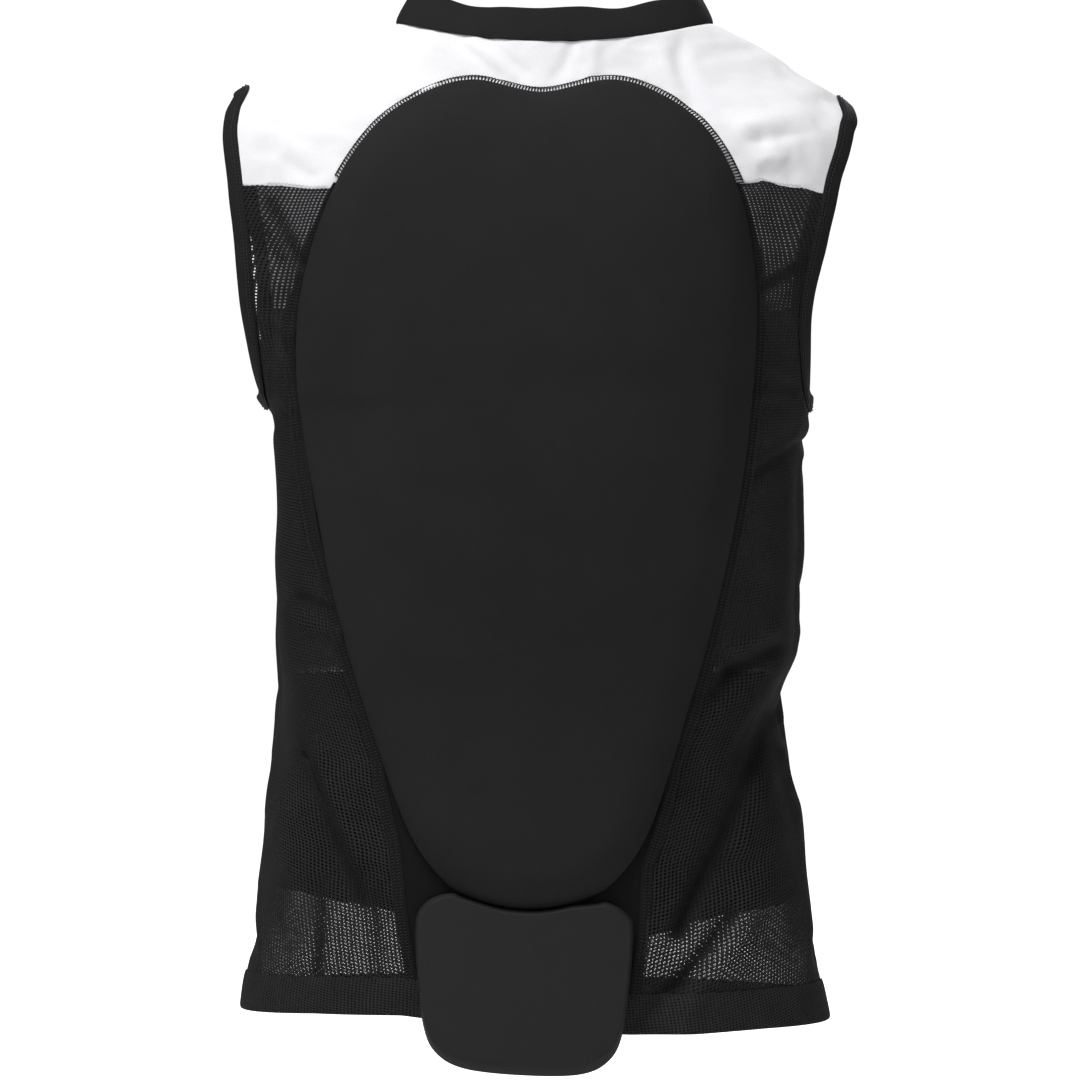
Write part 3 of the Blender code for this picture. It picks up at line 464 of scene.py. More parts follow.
# How far the hem is off the form behind: shares of CHEST_HALF_WIDTH across, then metres up.
HEM_ACROSS = (-1.15, -0.82, -0.50, -0.20, 0.33, 0.55, 0.82, 1.15)
HEM_UP = (0.0, 0.0040, 0.0055, 0.0, -0.0045, -0.0040, -0.0015, 0.0)


def fold_heights(places, folds):
    """How far the folds push the cloth outwards at each place."""
    total = np.zeros(places.shape[:-1])
    for fold in folds:
        start = np.array([fold.x1 * CHEST_HALF_WIDTH, -fold.down1 * BODY_LENGTH])
        way = np.array([fold.x2 * CHEST_HALF_WIDTH, -fold.down2 * BODY_LENGTH]) - start
        length = np.hypot(*way)
        offset = places[..., [0, 2]] - start
        along = offset @ way / length**2
        beyond = np.maximum(np.maximum(-along, along - 1.0), 0.0) * length
        aside = (offset[..., 0] * way[1] - offset[..., 1] * way[0]) / length
        reach = fold.width * ARMHOLE_HALF_WIDTH
        height = fold.depth * PAD_THICKNESS * np.exp(-(aside**2 + beyond**2) / reach**2)
        total += np.where(fold.side * places[..., 1] < 0, 0.0, height)
    return total


def cloth(turn, run, proud=0.0):
    """(points, normals) of the folded cloth, this far proud of its middle."""
    places, normals = form(turn, run), outwards(turn, run)
    calm = np.clip((off_armholes(turn, run) - BINDING_WIDTH) / 0.012, 0.1, 1)
    heights = fold_heights(places, FOLDS + CREASES) * calm + proud
    up = np.interp(places[..., 0] / CHEST_HALF_WIDTH, HEM_ACROSS, HEM_UP)
    low = np.clip((places[..., 2] + BODY_LENGTH - 0.10) / -0.10, 0, 1)
    up = np.where(places[..., 1] < 0, up * low**2 * (3 - 2 * low), 0.0)
    moves = flare(places, turn, run) + up[..., None] * (0, 0, 1)
    return places + normals * heights[..., None] + moves, normals


print(len(FOLDS), "long folds and", len(CREASES), "creases")

# %% [markdown]
# The pads and long seams were drawn on the back of the real vest as it is seen from behind, so
# their outlines are kept as (x, z) and then found again on the form. A smooth closed curve runs
# through a few drawn points, the way that a paper pattern is drawn with a French curve.

# %% Outlines of the two pads
OutlinePoint = collections.namedtuple("OutlinePoint", "across down")

# Right half of the back pad, from the notch in its top edge to its foot.
PAD_OUTLINE = (
    OutlinePoint(0.000, 0.016),
    OutlinePoint(0.300, 0.000),
    OutlinePoint(0.515, 0.017),
    OutlinePoint(0.708, 0.057),
    OutlinePoint(0.874, 0.130),
    OutlinePoint(0.972, 0.225),
    OutlinePoint(1.000, 0.325),
    OutlinePoint(0.962, 0.440),
    OutlinePoint(0.885, 0.563),
    OutlinePoint(0.783, 0.683),
    OutlinePoint(0.654, 0.803),
    OutlinePoint(0.513, 0.911),
    OutlinePoint(0.350, 0.971),
    OutlinePoint(0.180, 0.993),
    OutlinePoint(0.000, 1.000),
)
# Right half of the tail pad, from the top of its middle to its foot.
TAIL_OUTLINE = (
    OutlinePoint(0.00, 0.00),
    OutlinePoint(0.45, 0.00),
    OutlinePoint(0.80, 0.00),
    OutlinePoint(0.96, 0.07),
    OutlinePoint(1.00, 0.20),
    OutlinePoint(0.97, 0.48),
    OutlinePoint(0.90, 0.76),
    OutlinePoint(0.78, 0.90),
    OutlinePoint(0.52, 0.98),
    OutlinePoint(0.00, 1.00),
)


def evenly(points, count, closed=True):
    """The same curve with its points evenly spaced."""
    points = np.asarray(points, float)
    if closed:
        points = np.vstack([points, points[:1]])
    lengths = np.concatenate([[0.0], np.cumsum(np.linalg.norm(np.diff(points, axis=0), axis=1))])
    wanted = np.linspace(0.0, lengths[-1], count, endpoint=not closed)
    return np.stack([np.interp(wanted, lengths, column) for column in points.T], 1)


def drawn_curve(half_outline):
    """Both halves of an outline as one smooth closed curve of (across, down)."""
    half_points = np.array(half_outline)
    points = np.vstack([half_points, half_points[-2:0:-1] * (-1, 1)])
    s = np.linspace(0, 1, 12, endpoint=False)[:, None]
    found = []
    for i in range(len(points)):
        a, b, c, d = (points[(i + k) % len(points)] for k in (-1, 0, 1, 2))
        curve = 2 * b + (c - a) * s + (2 * a - 5 * b + 4 * c - d) * s**2
        found.append(0.5 * (curve + (3 * b - a - 3 * c + d) * s**3))
    return np.vstack(found)


def pad_outline(count):
    """The back pad's outline as (x, z), seen from behind."""
    across, down = drawn_curve(PAD_OUTLINE).T
    bow = PAD_BOW * np.sin(math.pi * np.clip(down, 0, 1))
    bow = bow - PAD_UPPER_LEAN * np.exp(-(((down - 0.33) / 0.13) ** 2))
    x = across * PAD_HALF_WIDTH + PAD_TOP_ACROSS + PAD_LEAN * down + bow
    return evenly(np.stack([x, -PAD_TOP_DROP - down * PAD_LENGTH], 1), count)


TAIL_TOP = PAD_TOP_DROP + PAD_LENGTH - TAIL_TUCK


def tail_outline(count):
    """The tail pad's outline as (x, z), before its top is cut along the back pad's foot."""
    across, down = drawn_curve(TAIL_OUTLINE).T
    x = across * TAIL_HALF_WIDTH + TAIL_ACROSS
    return evenly(np.stack([x, -TAIL_TOP - down * TAIL_LENGTH], 1), count)


def grown(outline, by):
    """A closed outline moved outwards, or inwards if by is below 0."""
    way = unit(np.roll(outline, -1, 0) - np.roll(outline, 1, 0))
    x, z = outline.T
    area = np.sum(x * np.roll(z, -1) - np.roll(x, -1) * z)
    return outline + np.stack([way[:, 1], -way[:, 0]], 1) * math.copysign(by, area)


PAD_EDGE = pad_outline(360)
print("the back pad's outline is", len(PAD_EDGE), "points")

# %% [markdown]
# What is drawn from behind has to be found on the form. No formula gives the run of a place that
# is seen at x and z, so the height is halved in on, 28 times, for all places at once.


# %% Find places on the back from behind
def inside_outline(points, outline):
    """Distance in from a closed outline, below 0 outside it."""
    start, end = outline, np.roll(outline, -1, 0)
    way = end - start
    offset = points[:, None, :] - start[None]
    share = np.clip((offset * way).sum(-1) / (way**2).sum(-1), 0, 1)
    distance = np.linalg.norm(offset - share[..., None] * way, axis=-1).min(1)
    above = start[None, :, 1] > points[:, None, 1]
    crossing = above != (end[None, :, 1] > points[:, None, 1])
    rise = np.where(np.abs(way[:, 1]) < 1e-12, 1e-12, way[:, 1])
    meets = start[None, :, 0] + (points[:, None, 1] - start[None, :, 1]) / rise * way[:, 0]
    odd = (crossing & (points[:, None, 0] < meets)).sum(1) % 2
    return np.where(odd == 1, distance, -distance)


def back_place(x, z):
    """(turn, run) of the place on the back that is seen from behind at x and z."""
    x, z = np.broadcast_arrays(np.asarray(x, float), np.asarray(z, float))
    low, high = np.zeros(x.shape), np.full(x.shape, WHOLE_RUN * 1.25)
    for _ in range(28):
        run = (low + high) / 2
        ring = {name: np.interp(run, RUNS, column) for name, column in COLUMNS.items()}
        aside = (x - ring["shift"]) / ring["half"]
        share = np.clip(np.abs(aside), 0, 1)
        drop = ring["back_drop"] * (1 - share ** ring["square"])
        height = -ring["down"] - drop - ring["tilt"] * aside - np.maximum(run - WHOLE_RUN, 0)
        low, high = np.where(height > z, run, low), np.where(height > z, high, run)
    across = np.sign(aside) * share ** (ring["square"] / 2)
    turn = -np.degrees(np.arccos(np.clip(across, -1, 1)))
    return np.where(turn < -90, turn + 360, turn), run


def front_turn(x, run):
    """The turn of the place on the front that is at x."""
    ring = {name: np.interp(run, RUNS, column) for name, column in COLUMNS.items()}
    aside = (x - ring["shift"]) / ring["half"]
    across = np.sign(aside) * np.clip(np.abs(aside), 0, 1) ** (ring["square"] / 2)
    return np.degrees(np.arccos(across))


print("the middle of the back is at turn %.1f" % back_place(0.0, -0.3)[0])

# %% [markdown]
# A panel is cut flat and then laid on the form, just as a real one is cut from the roll and then
# worn. Its grid starts in (turn, run). The points that lie close to a seam are moved onto it, and
# the cloth beyond the seam is cut away, so that the cells stay square and the edge stays smooth.


# %% Lay grids and cut panels
def lay(rows, weave=None):
    """A grid moved onto rows of points, weave being its UVs in metres. Doubled points are welded."""
    rows = np.asarray(rows, float)
    down, across = rows.shape[0] - 1, rows.shape[1] - 1
    made = bmesh.new()
    bmesh.ops.create_grid(made, x_segments=across, y_segments=down, size=0.5)
    spots = np.array([v.co[:2] for v in made.verts]) + 0.5
    column = np.rint(spots[:, 0] * across).astype(int)
    row = np.rint(spots[:, 1] * down).astype(int)
    for vert, point in zip(made.verts, rows[row, column]):
        vert.co = point
    if weave is not None:
        put_weave(made, weave[row, column])
    bmesh.ops.remove_doubles(made, verts=made.verts[:], dist=1e-6)
    return made


def put_weave(made, places):
    """Gives every vertex its place on the flat cloth as a UV, in metres."""
    layer = made.loops.layers.uv.new("weave")
    made.verts.index_update()
    for face in made.faces:
        for loop in face.loops:
            loop[layer].uv = places[loop.vert.index]


def snap(turn, run, seam, reach):
    """Moves the places that are within reach of a seam onto it."""
    near = np.abs(seam(turn, run)) < reach
    step = 0.0005
    for _ in range(4):
        t, r = turn[near], run[near]
        inside = seam(t, r)
        degree = np.maximum(np.linalg.norm(form(t + 0.5, r) - form(t - 0.5, r), axis=-1), 1e-4)
        slope_t = (seam(t + step / degree, r) - inside) / step
        slope_r = (seam(t, r + step) - inside) / step
        size = np.maximum(slope_t**2 + slope_r**2, 0.05)
        turn[near] -= inside * slope_t / size / degree
        run[near] -= inside * slope_r / size


def cut_panel(first, last, runs, cells, seams, reach=0.0024):
    """A flat panel in (turn, run) between two turns that may follow a seam, cut along the others."""
    made = bmesh.new()
    bmesh.ops.create_grid(made, x_segments=cells[0], y_segments=cells[1], size=0.5)
    share = np.array([v.co[:2] for v in made.verts]) + 0.5
    run = runs[1] + (runs[0] - runs[1]) * share[:, 1]
    turn = first(run) + (last(run) - first(run)) * share[:, 0]
    inside = np.full(len(run), 1.0)
    for seam in seams:
        snap(turn, run, seam, reach)
    for seam in seams:
        inside = np.minimum(inside, seam(turn, run))
    keep = inside > -0.0002
    for vert, t, r in zip(made.verts, turn, run):
        vert.co = (t, r, 0.0)
    made.verts.index_update()
    for face in list(made.faces):
        kept = [v for v in face.verts if keep[v.index]]
        if len(kept) == 3:
            made.faces.new(kept)
    cut_off = [v for v in made.verts if not keep[v.index]]
    bmesh.ops.delete(made, geom=cut_off, context="VERTS")
    loose = [v for v in made.verts if not v.link_faces]
    bmesh.ops.delete(made, geom=loose, context="VERTS")
    return made


def wear(made, place, weave):
    """Lays a flat panel on the form, and keeps its flat places as UVs."""
    turn, run = np.array([v.co[:2] for v in made.verts]).T
    put_weave(made, weave(turn, run))
    for vert, point in zip(made.verts, place(turn, run)):
        vert.co = point
    return made


def add_piece(name, made, finish, node=None, smooth=True):
    """Makes an object of a bmesh. It rides on the vest, and stands for a CAD node if one is named."""
    for face in made.faces:
        face.smooth = smooth
    mesh = bpy.data.meshes.new(name)
    made.to_mesh(mesh)
    made.free()
    mesh.materials.append(finish)
    piece = bpy.data.objects.new(name, mesh)
    bpy.context.scene.collection.objects.link(piece)
    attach(piece, "root")
    if node:
        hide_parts(node)
    print(f"{name}: {len(mesh.polygons)} faces")
    return piece


def thicken(piece, wall):
    """Gives a sheet its wall, half of it on each side."""
    modifier = piece.modifiers.new("wall", "SOLIDIFY")
    modifier.thickness = wall
    modifier.offset = 0.0
    modifier.use_even_offset = False
    return piece


def soften(piece):
    """Rounds a piece off with one subdivision."""
    modifier = piece.modifiers.new("soft", "SUBSURF")
    modifier.levels = modifier.render_levels = 1
    return piece


# %% [markdown]
# Cloth that is a little too large for its seams buckles into soft wrinkles. Blender's cloth
# solver finds them: the panel is given some spare length, its edges are held, and gravity is
# off. How far a point may move is then capped, so that nothing reaches the belt or the pad, and
# the cloth stays flat where it is sewn: under the bindings and in the hem.


# %% Let a panel crumple
def free_share(places):
    """0 under the bindings and in the hem, where the cloth is sewn flat, and 1 well away from them."""
    found = np.clip((places[:, 2] + BODY_LENGTH - HEM_HEIGHT) / 0.012, 0, 1)
    for side in (1, -1):
        edge = cloth(*armhole_edge(side, np.linspace(0, 2 * math.pi, 240)))[0]
        away = np.array([np.linalg.norm(edge - place, axis=1).min() for place in places])
        found = np.minimum(found, np.clip((away - BINDING_WIDTH) / 0.012, 0, 1))
    return found


def crumple(piece, spare, reach, inwards, frames=24):
    """Buckles a panel between its sewn edges, at most reach metres, and less on the inside."""
    mesh = piece.data
    count = len(mesh.vertices)
    before = np.empty(count * 3)
    normals = np.empty(count * 3)
    mesh.vertices.foreach_get("co", before)
    mesh.vertex_normals.foreach_get("vector", normals)
    before, normals = before.reshape(-1, 3), normals.reshape(-1, 3)
    made = bmesh.new()
    made.from_mesh(mesh)
    sewn = {v.index for e in made.edges if e.is_boundary for v in e.verts}
    made.free()
    group = piece.vertex_groups.new(name="sewn")
    group.add(sorted(sewn), 1.0, "REPLACE")
    modifier = piece.modifiers.new("crumple", "CLOTH")
    cloth_settings = modifier.settings
    cloth_settings.quality = 5
    cloth_settings.mass = 0.12
    cloth_settings.tension_stiffness = cloth_settings.compression_stiffness = 14.0
    cloth_settings.shear_stiffness = 6.0
    cloth_settings.bending_stiffness = 0.04
    cloth_settings.shrink_min = -spare
    cloth_settings.vertex_group_mass = group.name
    cloth_settings.effector_weights.gravity = 0.0
    modifier.collision_settings.use_collision = False
    modifier.point_cache.frame_start, modifier.point_cache.frame_end = 1, frames
    for frame in range(1, frames + 1):
        bpy.context.scene.frame_set(frame)
    worn = piece.evaluated_get(bpy.context.evaluated_depsgraph_get())
    after = np.empty(count * 3)
    worn.data.vertices.foreach_get("co", after)
    piece.modifiers.remove(modifier)
    piece.vertex_groups.remove(group)
    bpy.context.scene.frame_set(1)
    moves = after.reshape(-1, 3) - before
    size = np.linalg.norm(moves, axis=1, keepdims=True)
    moves *= reach * np.tanh(size / reach) / np.maximum(size, 1e-9)
    inward = np.minimum((moves * normals).sum(1), 0)
    moves += normals * (inwards * np.tanh(-inward / inwards) * -1 - inward)[:, None]
    moves *= free_share(before)[:, None]
    mesh.vertices.foreach_set("co", (before + moves).ravel())
    mesh.update()
    print(f"{piece.name} crumpled by up to {np.linalg.norm(moves, axis=1).max() * 1000:.1f} mm")


# %% [markdown]
# Every finish is worked out from the weave's own coordinates or the object's, in metres, so that
# a rib or a hole has its real size wherever the cloth goes. Yarn wraps one socket. Arithmetic on
# it adds the maths nodes, and its node method adds any other node.


# %% Write shader maths as arithmetic
class Yarn:
    """One socket of a material's nodes."""

    def __init__(self, tree, socket=None):
        self.tree = tree
        self.socket = socket

    def node(self, kind, settings=None, inputs=None, output=0):
        """Adds a node: its settings first, then the values or links of its sockets."""
        made = self.tree.nodes.new(kind)
        for key, value in (settings or {}).items():
            setattr(made, key, value)
        for key, value in (inputs or {}).items():
            if isinstance(value, Yarn):
                self.tree.links.new(value.socket, made.inputs[key])
            else:
                made.inputs[key].default_value = value
        return Yarn(self.tree, made.outputs[output])

    def maths(self, operation, *others):
        """This value through a Math node, with the others after it."""
        inputs = dict(enumerate((self, *others)))
        return self.node("ShaderNodeMath", {"operation": operation}, inputs)

    def __add__(self, other):
        return self.maths("ADD", other)

    def __radd__(self, other):
        return self.maths("ADD", other)

    def __sub__(self, other):
        return self.maths("SUBTRACT", other)

    def __rsub__(self, other):
        return self.maths("MULTIPLY", -1.0).maths("ADD", other)

    def __mul__(self, other):
        return self.maths("MULTIPLY", other)

    def __rmul__(self, other):
        return self.maths("MULTIPLY", other)

    def __truediv__(self, other):
        return self.maths("DIVIDE", other)

    def wave(self, length):
        """A smooth wave from 0 to 1 that repeats over a length."""
        return (self * (2 * math.pi / length)).maths("SINE") * 0.5 + 0.5

    def mix(self, low, high):
        """The colour low where this is 0 and high where it is 1."""
        settings = {"data_type": "RGBA"}
        inputs = {0: self, 6: (*low, 1.0), 7: (*high, 1.0)}
        return self.node("ShaderNodeMix", settings, inputs, 2)


def grey(value):
    return (value, value, value * 1.03)


def start_finish(name, colour, roughness, **constants):
    """A material with its shader's constants set, as (material, shader, Yarn)."""
    made = bpy.data.materials.new(name)
    made.use_nodes = True
    shader = made.node_tree.nodes["Principled BSDF"]
    shader.inputs["Base Color"].default_value = (*colour, 1.0)
    shader.inputs["Roughness"].default_value = roughness
    for key, value in constants.items():
        shader.inputs[key.replace("_", " ")].default_value = value
    return made, shader, Yarn(made.node_tree)


def into(shader, key, yarn):
    yarn.tree.links.new(yarn.socket, shader.inputs[key])


def weave_places(yarn):
    """The two coordinates of the flat cloth, in metres."""
    places = yarn.node("ShaderNodeUVMap", {"uv_map": "weave"})
    return split(places)[:2]


def split(places):
    """The three coordinates of a vector."""
    x = places.node("ShaderNodeSeparateXYZ", inputs={0: places})
    return [Yarn(places.tree, x.socket.node.outputs[i]) for i in range(3)]


def object_places(yarn):
    """The piece's own coordinates, in metres."""
    return yarn.node("ShaderNodeTexCoord", output=3)


def grain(yarn, scale, detail=3.0, where=None):
    """Soft noise from 0 to 1, scale blotches to the metre."""
    places = where or object_places(yarn)
    return yarn.node("ShaderNodeTexNoise", inputs={"Vector": places, "Scale": scale, "Detail": detail})


def bump(yarn, height, distance, strength=1.0):
    """A normal from a height of 0 to 1 that stands for a distance in metres."""
    inputs = {"Strength": strength, "Distance": distance, "Height": height}
    return yarn.node("ShaderNodeBump", inputs=inputs)


print("the finishes can be written now")

# %% [markdown]
# The mesh has rows of small oval holes, straight up and down, one every 2.7 mm across and
# 2.05 mm down. The holes are real gaps, where Alpha is 0, so that light comes through the vest
# where two layers happen to line up. The strands between them are rounded by a bump. In front
# the mesh is finer, and there it closes above the belt.

# %% Finish: open mesh
HOLE_ACROSS = 0.0027
HOLE_DOWN = 0.00205
BELT_TOP_Z = BELT_ABOVE_HEM + BELT_HEIGHT - BODY_LENGTH


def holes_at(yarn, u, v, across, down):
    """Distance from the middle of the nearest hole, as a share of the hole's cell."""
    a = (u / across).maths("FRACT") - 0.5
    b = (v / down).maths("FRACT") - 0.5
    return (a * a + b * b).maths("SQRT")


def ease(value, low, high):
    """0 below low, 1 above high, and smooth between them."""
    settings = {"interpolation_type": "SMOOTHSTEP"}
    return value.node("ShaderNodeMapRange", settings, {0: value, 1: low, 2: high})


def open_mesh(name, shade, hole):
    finish, shader, yarn = start_finish(name, grey(shade), 0.82, Specular_IOR_Level=0.06)
    u, v = weave_places(yarn)
    x, y, z = split(object_places(yarn))
    folded = yarn.node("ShaderNodeAttribute", {"attribute_name": "folded"}, output=2)
    # Behind, the holes close in the creases and at the chest, where the cloth is slack.
    chest = ease(z, -0.30, -0.26)
    slack = (1.0 - ease(z, -0.190, -0.140)) * 0.05 + ease(x, 0.10, 0.15) * 0.105
    wobble = (grain(yarn, 380.0, 1.0) - 0.5) * 0.10
    flank = (1.0 - ease(y.maths("ABSOLUTE"), 0.020, 0.055)) * 0.15
    ring = holes_at(yarn, u, v, HOLE_ACROSS, HOLE_DOWN) + wobble + flank
    coarse_gap = ease(ring + slack * chest + folded * 0.25, hole - 0.04, hole + 0.04)
    # In front, the mesh is finer, its strands let some light through, and it closes above the belt.
    above_belt = ease(z, BELT_TOP_Z - 0.004, BELT_TOP_Z + 0.004)
    fine = holes_at(yarn, u, v, HOLE_ACROSS / 2, HOLE_DOWN / 2) + flank + above_belt * 0.15
    strands = 0.95 - grain(yarn, 45.0, 1.0) * 0.14 + above_belt * 0.04
    fine_gap = ease(fine, hole - 0.09, hole - 0.01) * strands
    ahead = ease(y, 0.000, 0.040)
    into(shader, "Alpha", coarse_gap + (fine_gap - coarse_gap) * ahead)
    into(shader, "Normal", bump(yarn, ring.maths("MINIMUM", 0.5) * 2.0, 0.0006, 0.8))
    # The colour holds painted shade: the holes are darker than the strands, partly for the black cloth that
    # shows through them and partly as painted shade inside them, and the creases are painted darker still, as
    # painted shade.
    tone = grain(yarn, 34.0, 4.0) * 0.6 + ring.maths("MINIMUM", 0.6) * 0.7 - folded * 0.4
    into(shader, "Base Color", tone.mix(grey(shade * 0.40), grey(shade * 1.55)))
    return finish


def doubled_mesh(name, shade, hole):
    """Two layers of the mesh on each other: no light comes through, and the holes are dark, partly painted
    shade.
    """
    finish, shader, yarn = start_finish(name, grey(shade), 0.82, Specular_IOR_Level=0.06)
    u, v = weave_places(yarn)
    ring = holes_at(yarn, u, v, HOLE_ACROSS * 0.9, HOLE_DOWN) + (grain(yarn, 380.0, 1.0) - 0.5) * 0.16
    strands = ease(ring, hole - 0.16, hole + 0.10)
    into(shader, "Normal", bump(yarn, strands, 0.0006, 0.9))
    # Painted shade: the holes are nearly black, partly for the black layer behind them and partly as painted
    # shade inside them.
    patches = grain(yarn, 50.0, 3.0) * 0.5 + 0.5
    into(shader, "Base Color", (strands * patches).mix(grey(shade * 0.12), grey(shade * 1.80)))
    return finish


OPEN_MESH = open_mesh("open mesh", 0.0190, 0.285)
HEM_MESH = doubled_mesh("hem mesh", 0.0185, 0.27)


# %% [markdown]
# The cover of the pads and the small panels are a smooth, dense knit. Close up it is fine columns
# of stitches, each a millimetre wide, on a cloth that is never quite one shade.

# %% Finish: smooth knits
def knit(name, shade, roughness, column, depth):
    finish, shader, yarn = start_finish(name, grey(shade), roughness, Specular_IOR_Level=0.08)
    places = object_places(yarn)
    x, _, z = split(places)
    columns = x.wave(column)
    courses = (z + x * 0.3).wave(column * 0.8)
    fuzz = grain(yarn, 1500.0, 2.0, places)
    height = columns * 0.4 + courses * 0.3 + fuzz * 0.5
    into(shader, "Normal", bump(yarn, height, depth, 0.6))
    patches = grain(yarn, 26.0, 4.0, places)
    tone = patches * 0.6 + fuzz * 0.4
    into(shader, "Base Color", tone.mix(grey(shade * 0.80), grey(shade * 1.22)))
    return finish


PAD_KNIT = knit("pad knit", 0.0185, 0.88, 0.0010, 0.00012)
BLACK_KNIT = knit("black knit", 0.0175, 0.90, 0.0011, 0.00016)
LOWER_KNIT = knit("lower knit", 0.0085, 0.90, 0.0011, 0.00016)
WHITE_KNIT = knit("white knit", 0.84, 0.80, 0.0010, 0.00008)


# %% [markdown]
# Elastic is woven in ribs that run along it. The tail pad is moulded foam with a fine, slightly
# rubbery skin. The threads, the zip's tape and its coil are finishes of their own.

# %% Finish: elastic, foam, thread and zip
def elastic(name, shade, rib):
    finish, shader, yarn = start_finish(name, grey(shade), 0.72, Specular_IOR_Level=0.10)
    u, v = weave_places(yarn)
    ribs = v.wave(rib)
    picks = (u + v * 0.25).wave(rib * 0.9)
    height = ribs * 0.7 + picks * 0.3
    into(shader, "Normal", bump(yarn, height, 0.0003, 0.8))
    tone = ribs * 0.6 + grain(yarn, 60.0, 3.0) * 0.4
    into(shader, "Base Color", tone.mix(grey(shade * 0.65), grey(shade * 1.35)))
    return finish


def foam_skin(name, shade):
    finish, shader, yarn = start_finish(name, grey(shade), 0.68, Specular_IOR_Level=0.18)
    places = object_places(yarn)
    pores = grain(yarn, 1900.0, 3.0, places)
    dents = grain(yarn, 60.0, 3.0, places)
    into(shader, "Normal", bump(yarn, pores * 0.8 + dents * 0.5, 0.00025, 0.7))
    into(shader, "Base Color", (pores * 0.5 + dents * 0.5).mix(grey(shade * 0.8), grey(shade * 1.2)))
    into(shader, "Roughness", dents * 0.2 + 0.58)
    return finish


def thread(name, shade, roughness=0.6):
    finish, shader, yarn = start_finish(name, grey(shade), roughness, Specular_IOR_Level=0.35)
    fibres = grain(yarn, 2200.0, 2.0)
    into(shader, "Base Color", fibres.mix(grey(shade * 0.7), grey(min(shade * 1.15, 0.95))))
    return finish


ELASTIC = elastic("elastic", 0.0150, 0.0011)
BELT_ELASTIC = elastic("belt elastic", 0.0050, 0.0030)
FOAM = foam_skin("foam", 0.0185)
GREY_THREAD = thread("grey thread", 0.022)
BLACK_THREAD = thread("black thread", 0.0080)
YOKE_THREAD = thread("yoke thread", 0.62)
SEAM_STRIP = elastic("seam strip", 0.0105, 0.0011)
ZIP_TAPE = elastic("zip tape", 0.0120, 0.0009)
ZIP_COIL = thread("zip coil", 0.0160, 0.35)
print(len(bpy.data.materials), "finishes")

# %% [markdown]
# The yoke is one piece of white stretch knit, with no seam on the shoulders. It goes once round
# the neck from the zip, down to the mesh, and is cut out for the pad and for both armholes. Its
# lower edge is level in front, and higher behind, where it sags a little unevenly. The change of
# height is inside the armholes.

# %% Seams that the panels are cut along
def off_pad(turn, run):
    """Metres outside the back pad's outline, as seen from behind."""
    places = form(turn, run)
    behind = places[:, 1] < 0
    found = np.full(len(places), 1.0)
    found[behind] = -inside_outline(places[behind][:, [0, 2]], PAD_EDGE)
    return found


# How far the yoke's lower edge sags behind: (across, metres).
YOKE_SAG = ((-0.200, -0.0010), (-0.165, 0.0013), (-0.150, 0.0040), (-0.134, 0.0034), (0.138, 0.0008),
            (0.144, -0.0022), (0.155, 0.0013), (0.168, 0.0024), (0.174, 0.0046), (0.190, 0.0080))


def yoke_edge(places):
    """The height of the yoke's lower edge, which sags unevenly behind: (across, metres)."""
    ahead = places[:, 1] > 0
    sag = np.interp(places[:, 0], *np.array(YOKE_SAG).T)
    return np.where(ahead, -YOKE_FRONT_LENGTH, -YOKE_BACK_LENGTH - sag)


def above_yoke_edge(turn, run):
    places = form(turn, run)
    return places[:, 2] - yoke_edge(places)


def below_yoke_edge(turn, run):
    return 0.0012 - above_yoke_edge(turn, run)


LOWER_PANEL_DROP = PAD_TOP_DROP + 0.70 * PAD_LENGTH
# The long seams below that: (height, across), for the right and the left.
LOWER_SEAMS = {
    1: ((-0.673, 0.0554), (-0.6466, 0.0593), (-0.627, 0.0619), (-0.607, 0.0655), (-0.587, 0.0672),
        (-0.566, 0.0675), (-0.541, 0.0758), (-0.508, 0.0857)),
    -1: ((-0.673, -0.0780), (-0.640, -0.0822), (-0.592, -0.0890), (-0.556, -0.0923), (-0.530, -0.0982),
         (-0.508, -0.1035)),
}


def lower_seam_x(side, z):
    return np.interp(z, *np.array(LOWER_SEAMS[side]).T)


def long_seam(side):
    """The whole seam from the yoke to the hem, as (x, z): the pad's edge, then the lower seam."""
    edge = PAD_EDGE[(PAD_EDGE[:, 0] - PAD_EDGE[:, 0].mean()) * side > 0]
    edge = edge[np.argsort(-edge[:, 1])]
    edge = edge[(edge[:, 1] < -0.5 * YOKE_BACK_LENGTH)]
    z = np.linspace(edge[0, 1], -BODY_LENGTH - 0.004, 240)
    x = np.interp(-z, -edge[:, 1], edge[:, 0])
    lower = lower_seam_x(side, z)
    outer = np.where(side * lower > side * x, lower, x)
    below = z < -LOWER_PANEL_DROP
    return np.stack([np.where(below, outer, x), z], 1)


LONG_SEAMS = {side: long_seam(side) for side in (1, -1)}
SEAM_PLACES = {side: back_place(*LONG_SEAMS[side].T) for side in (1, -1)}


def seam_turn(side, run):
    turns, runs = SEAM_PLACES[side]
    order = np.argsort(runs)
    return np.interp(run, runs[order], turns[order])


def cloth_points(turn, run, proud=0.0):
    return cloth(turn, run, proud)[0]


# The cloth's length once round, which keeps its weave from starting again at the back.
ONCE_ROUND = 0.95


def plain_weave(turn, run):
    wraps = np.floor((turn + 90) / 360)
    return np.stack([girth_at(turn - 360 * wraps, run) + wraps * ONCE_ROUND, run], 1)

# %% [markdown]
# The yoke's grid starts and ends at the zip, and is then cut along three seams: the armholes, its
# own lower edge and the pad's outline. Crumpling gives it the soft creases of stretch cloth.

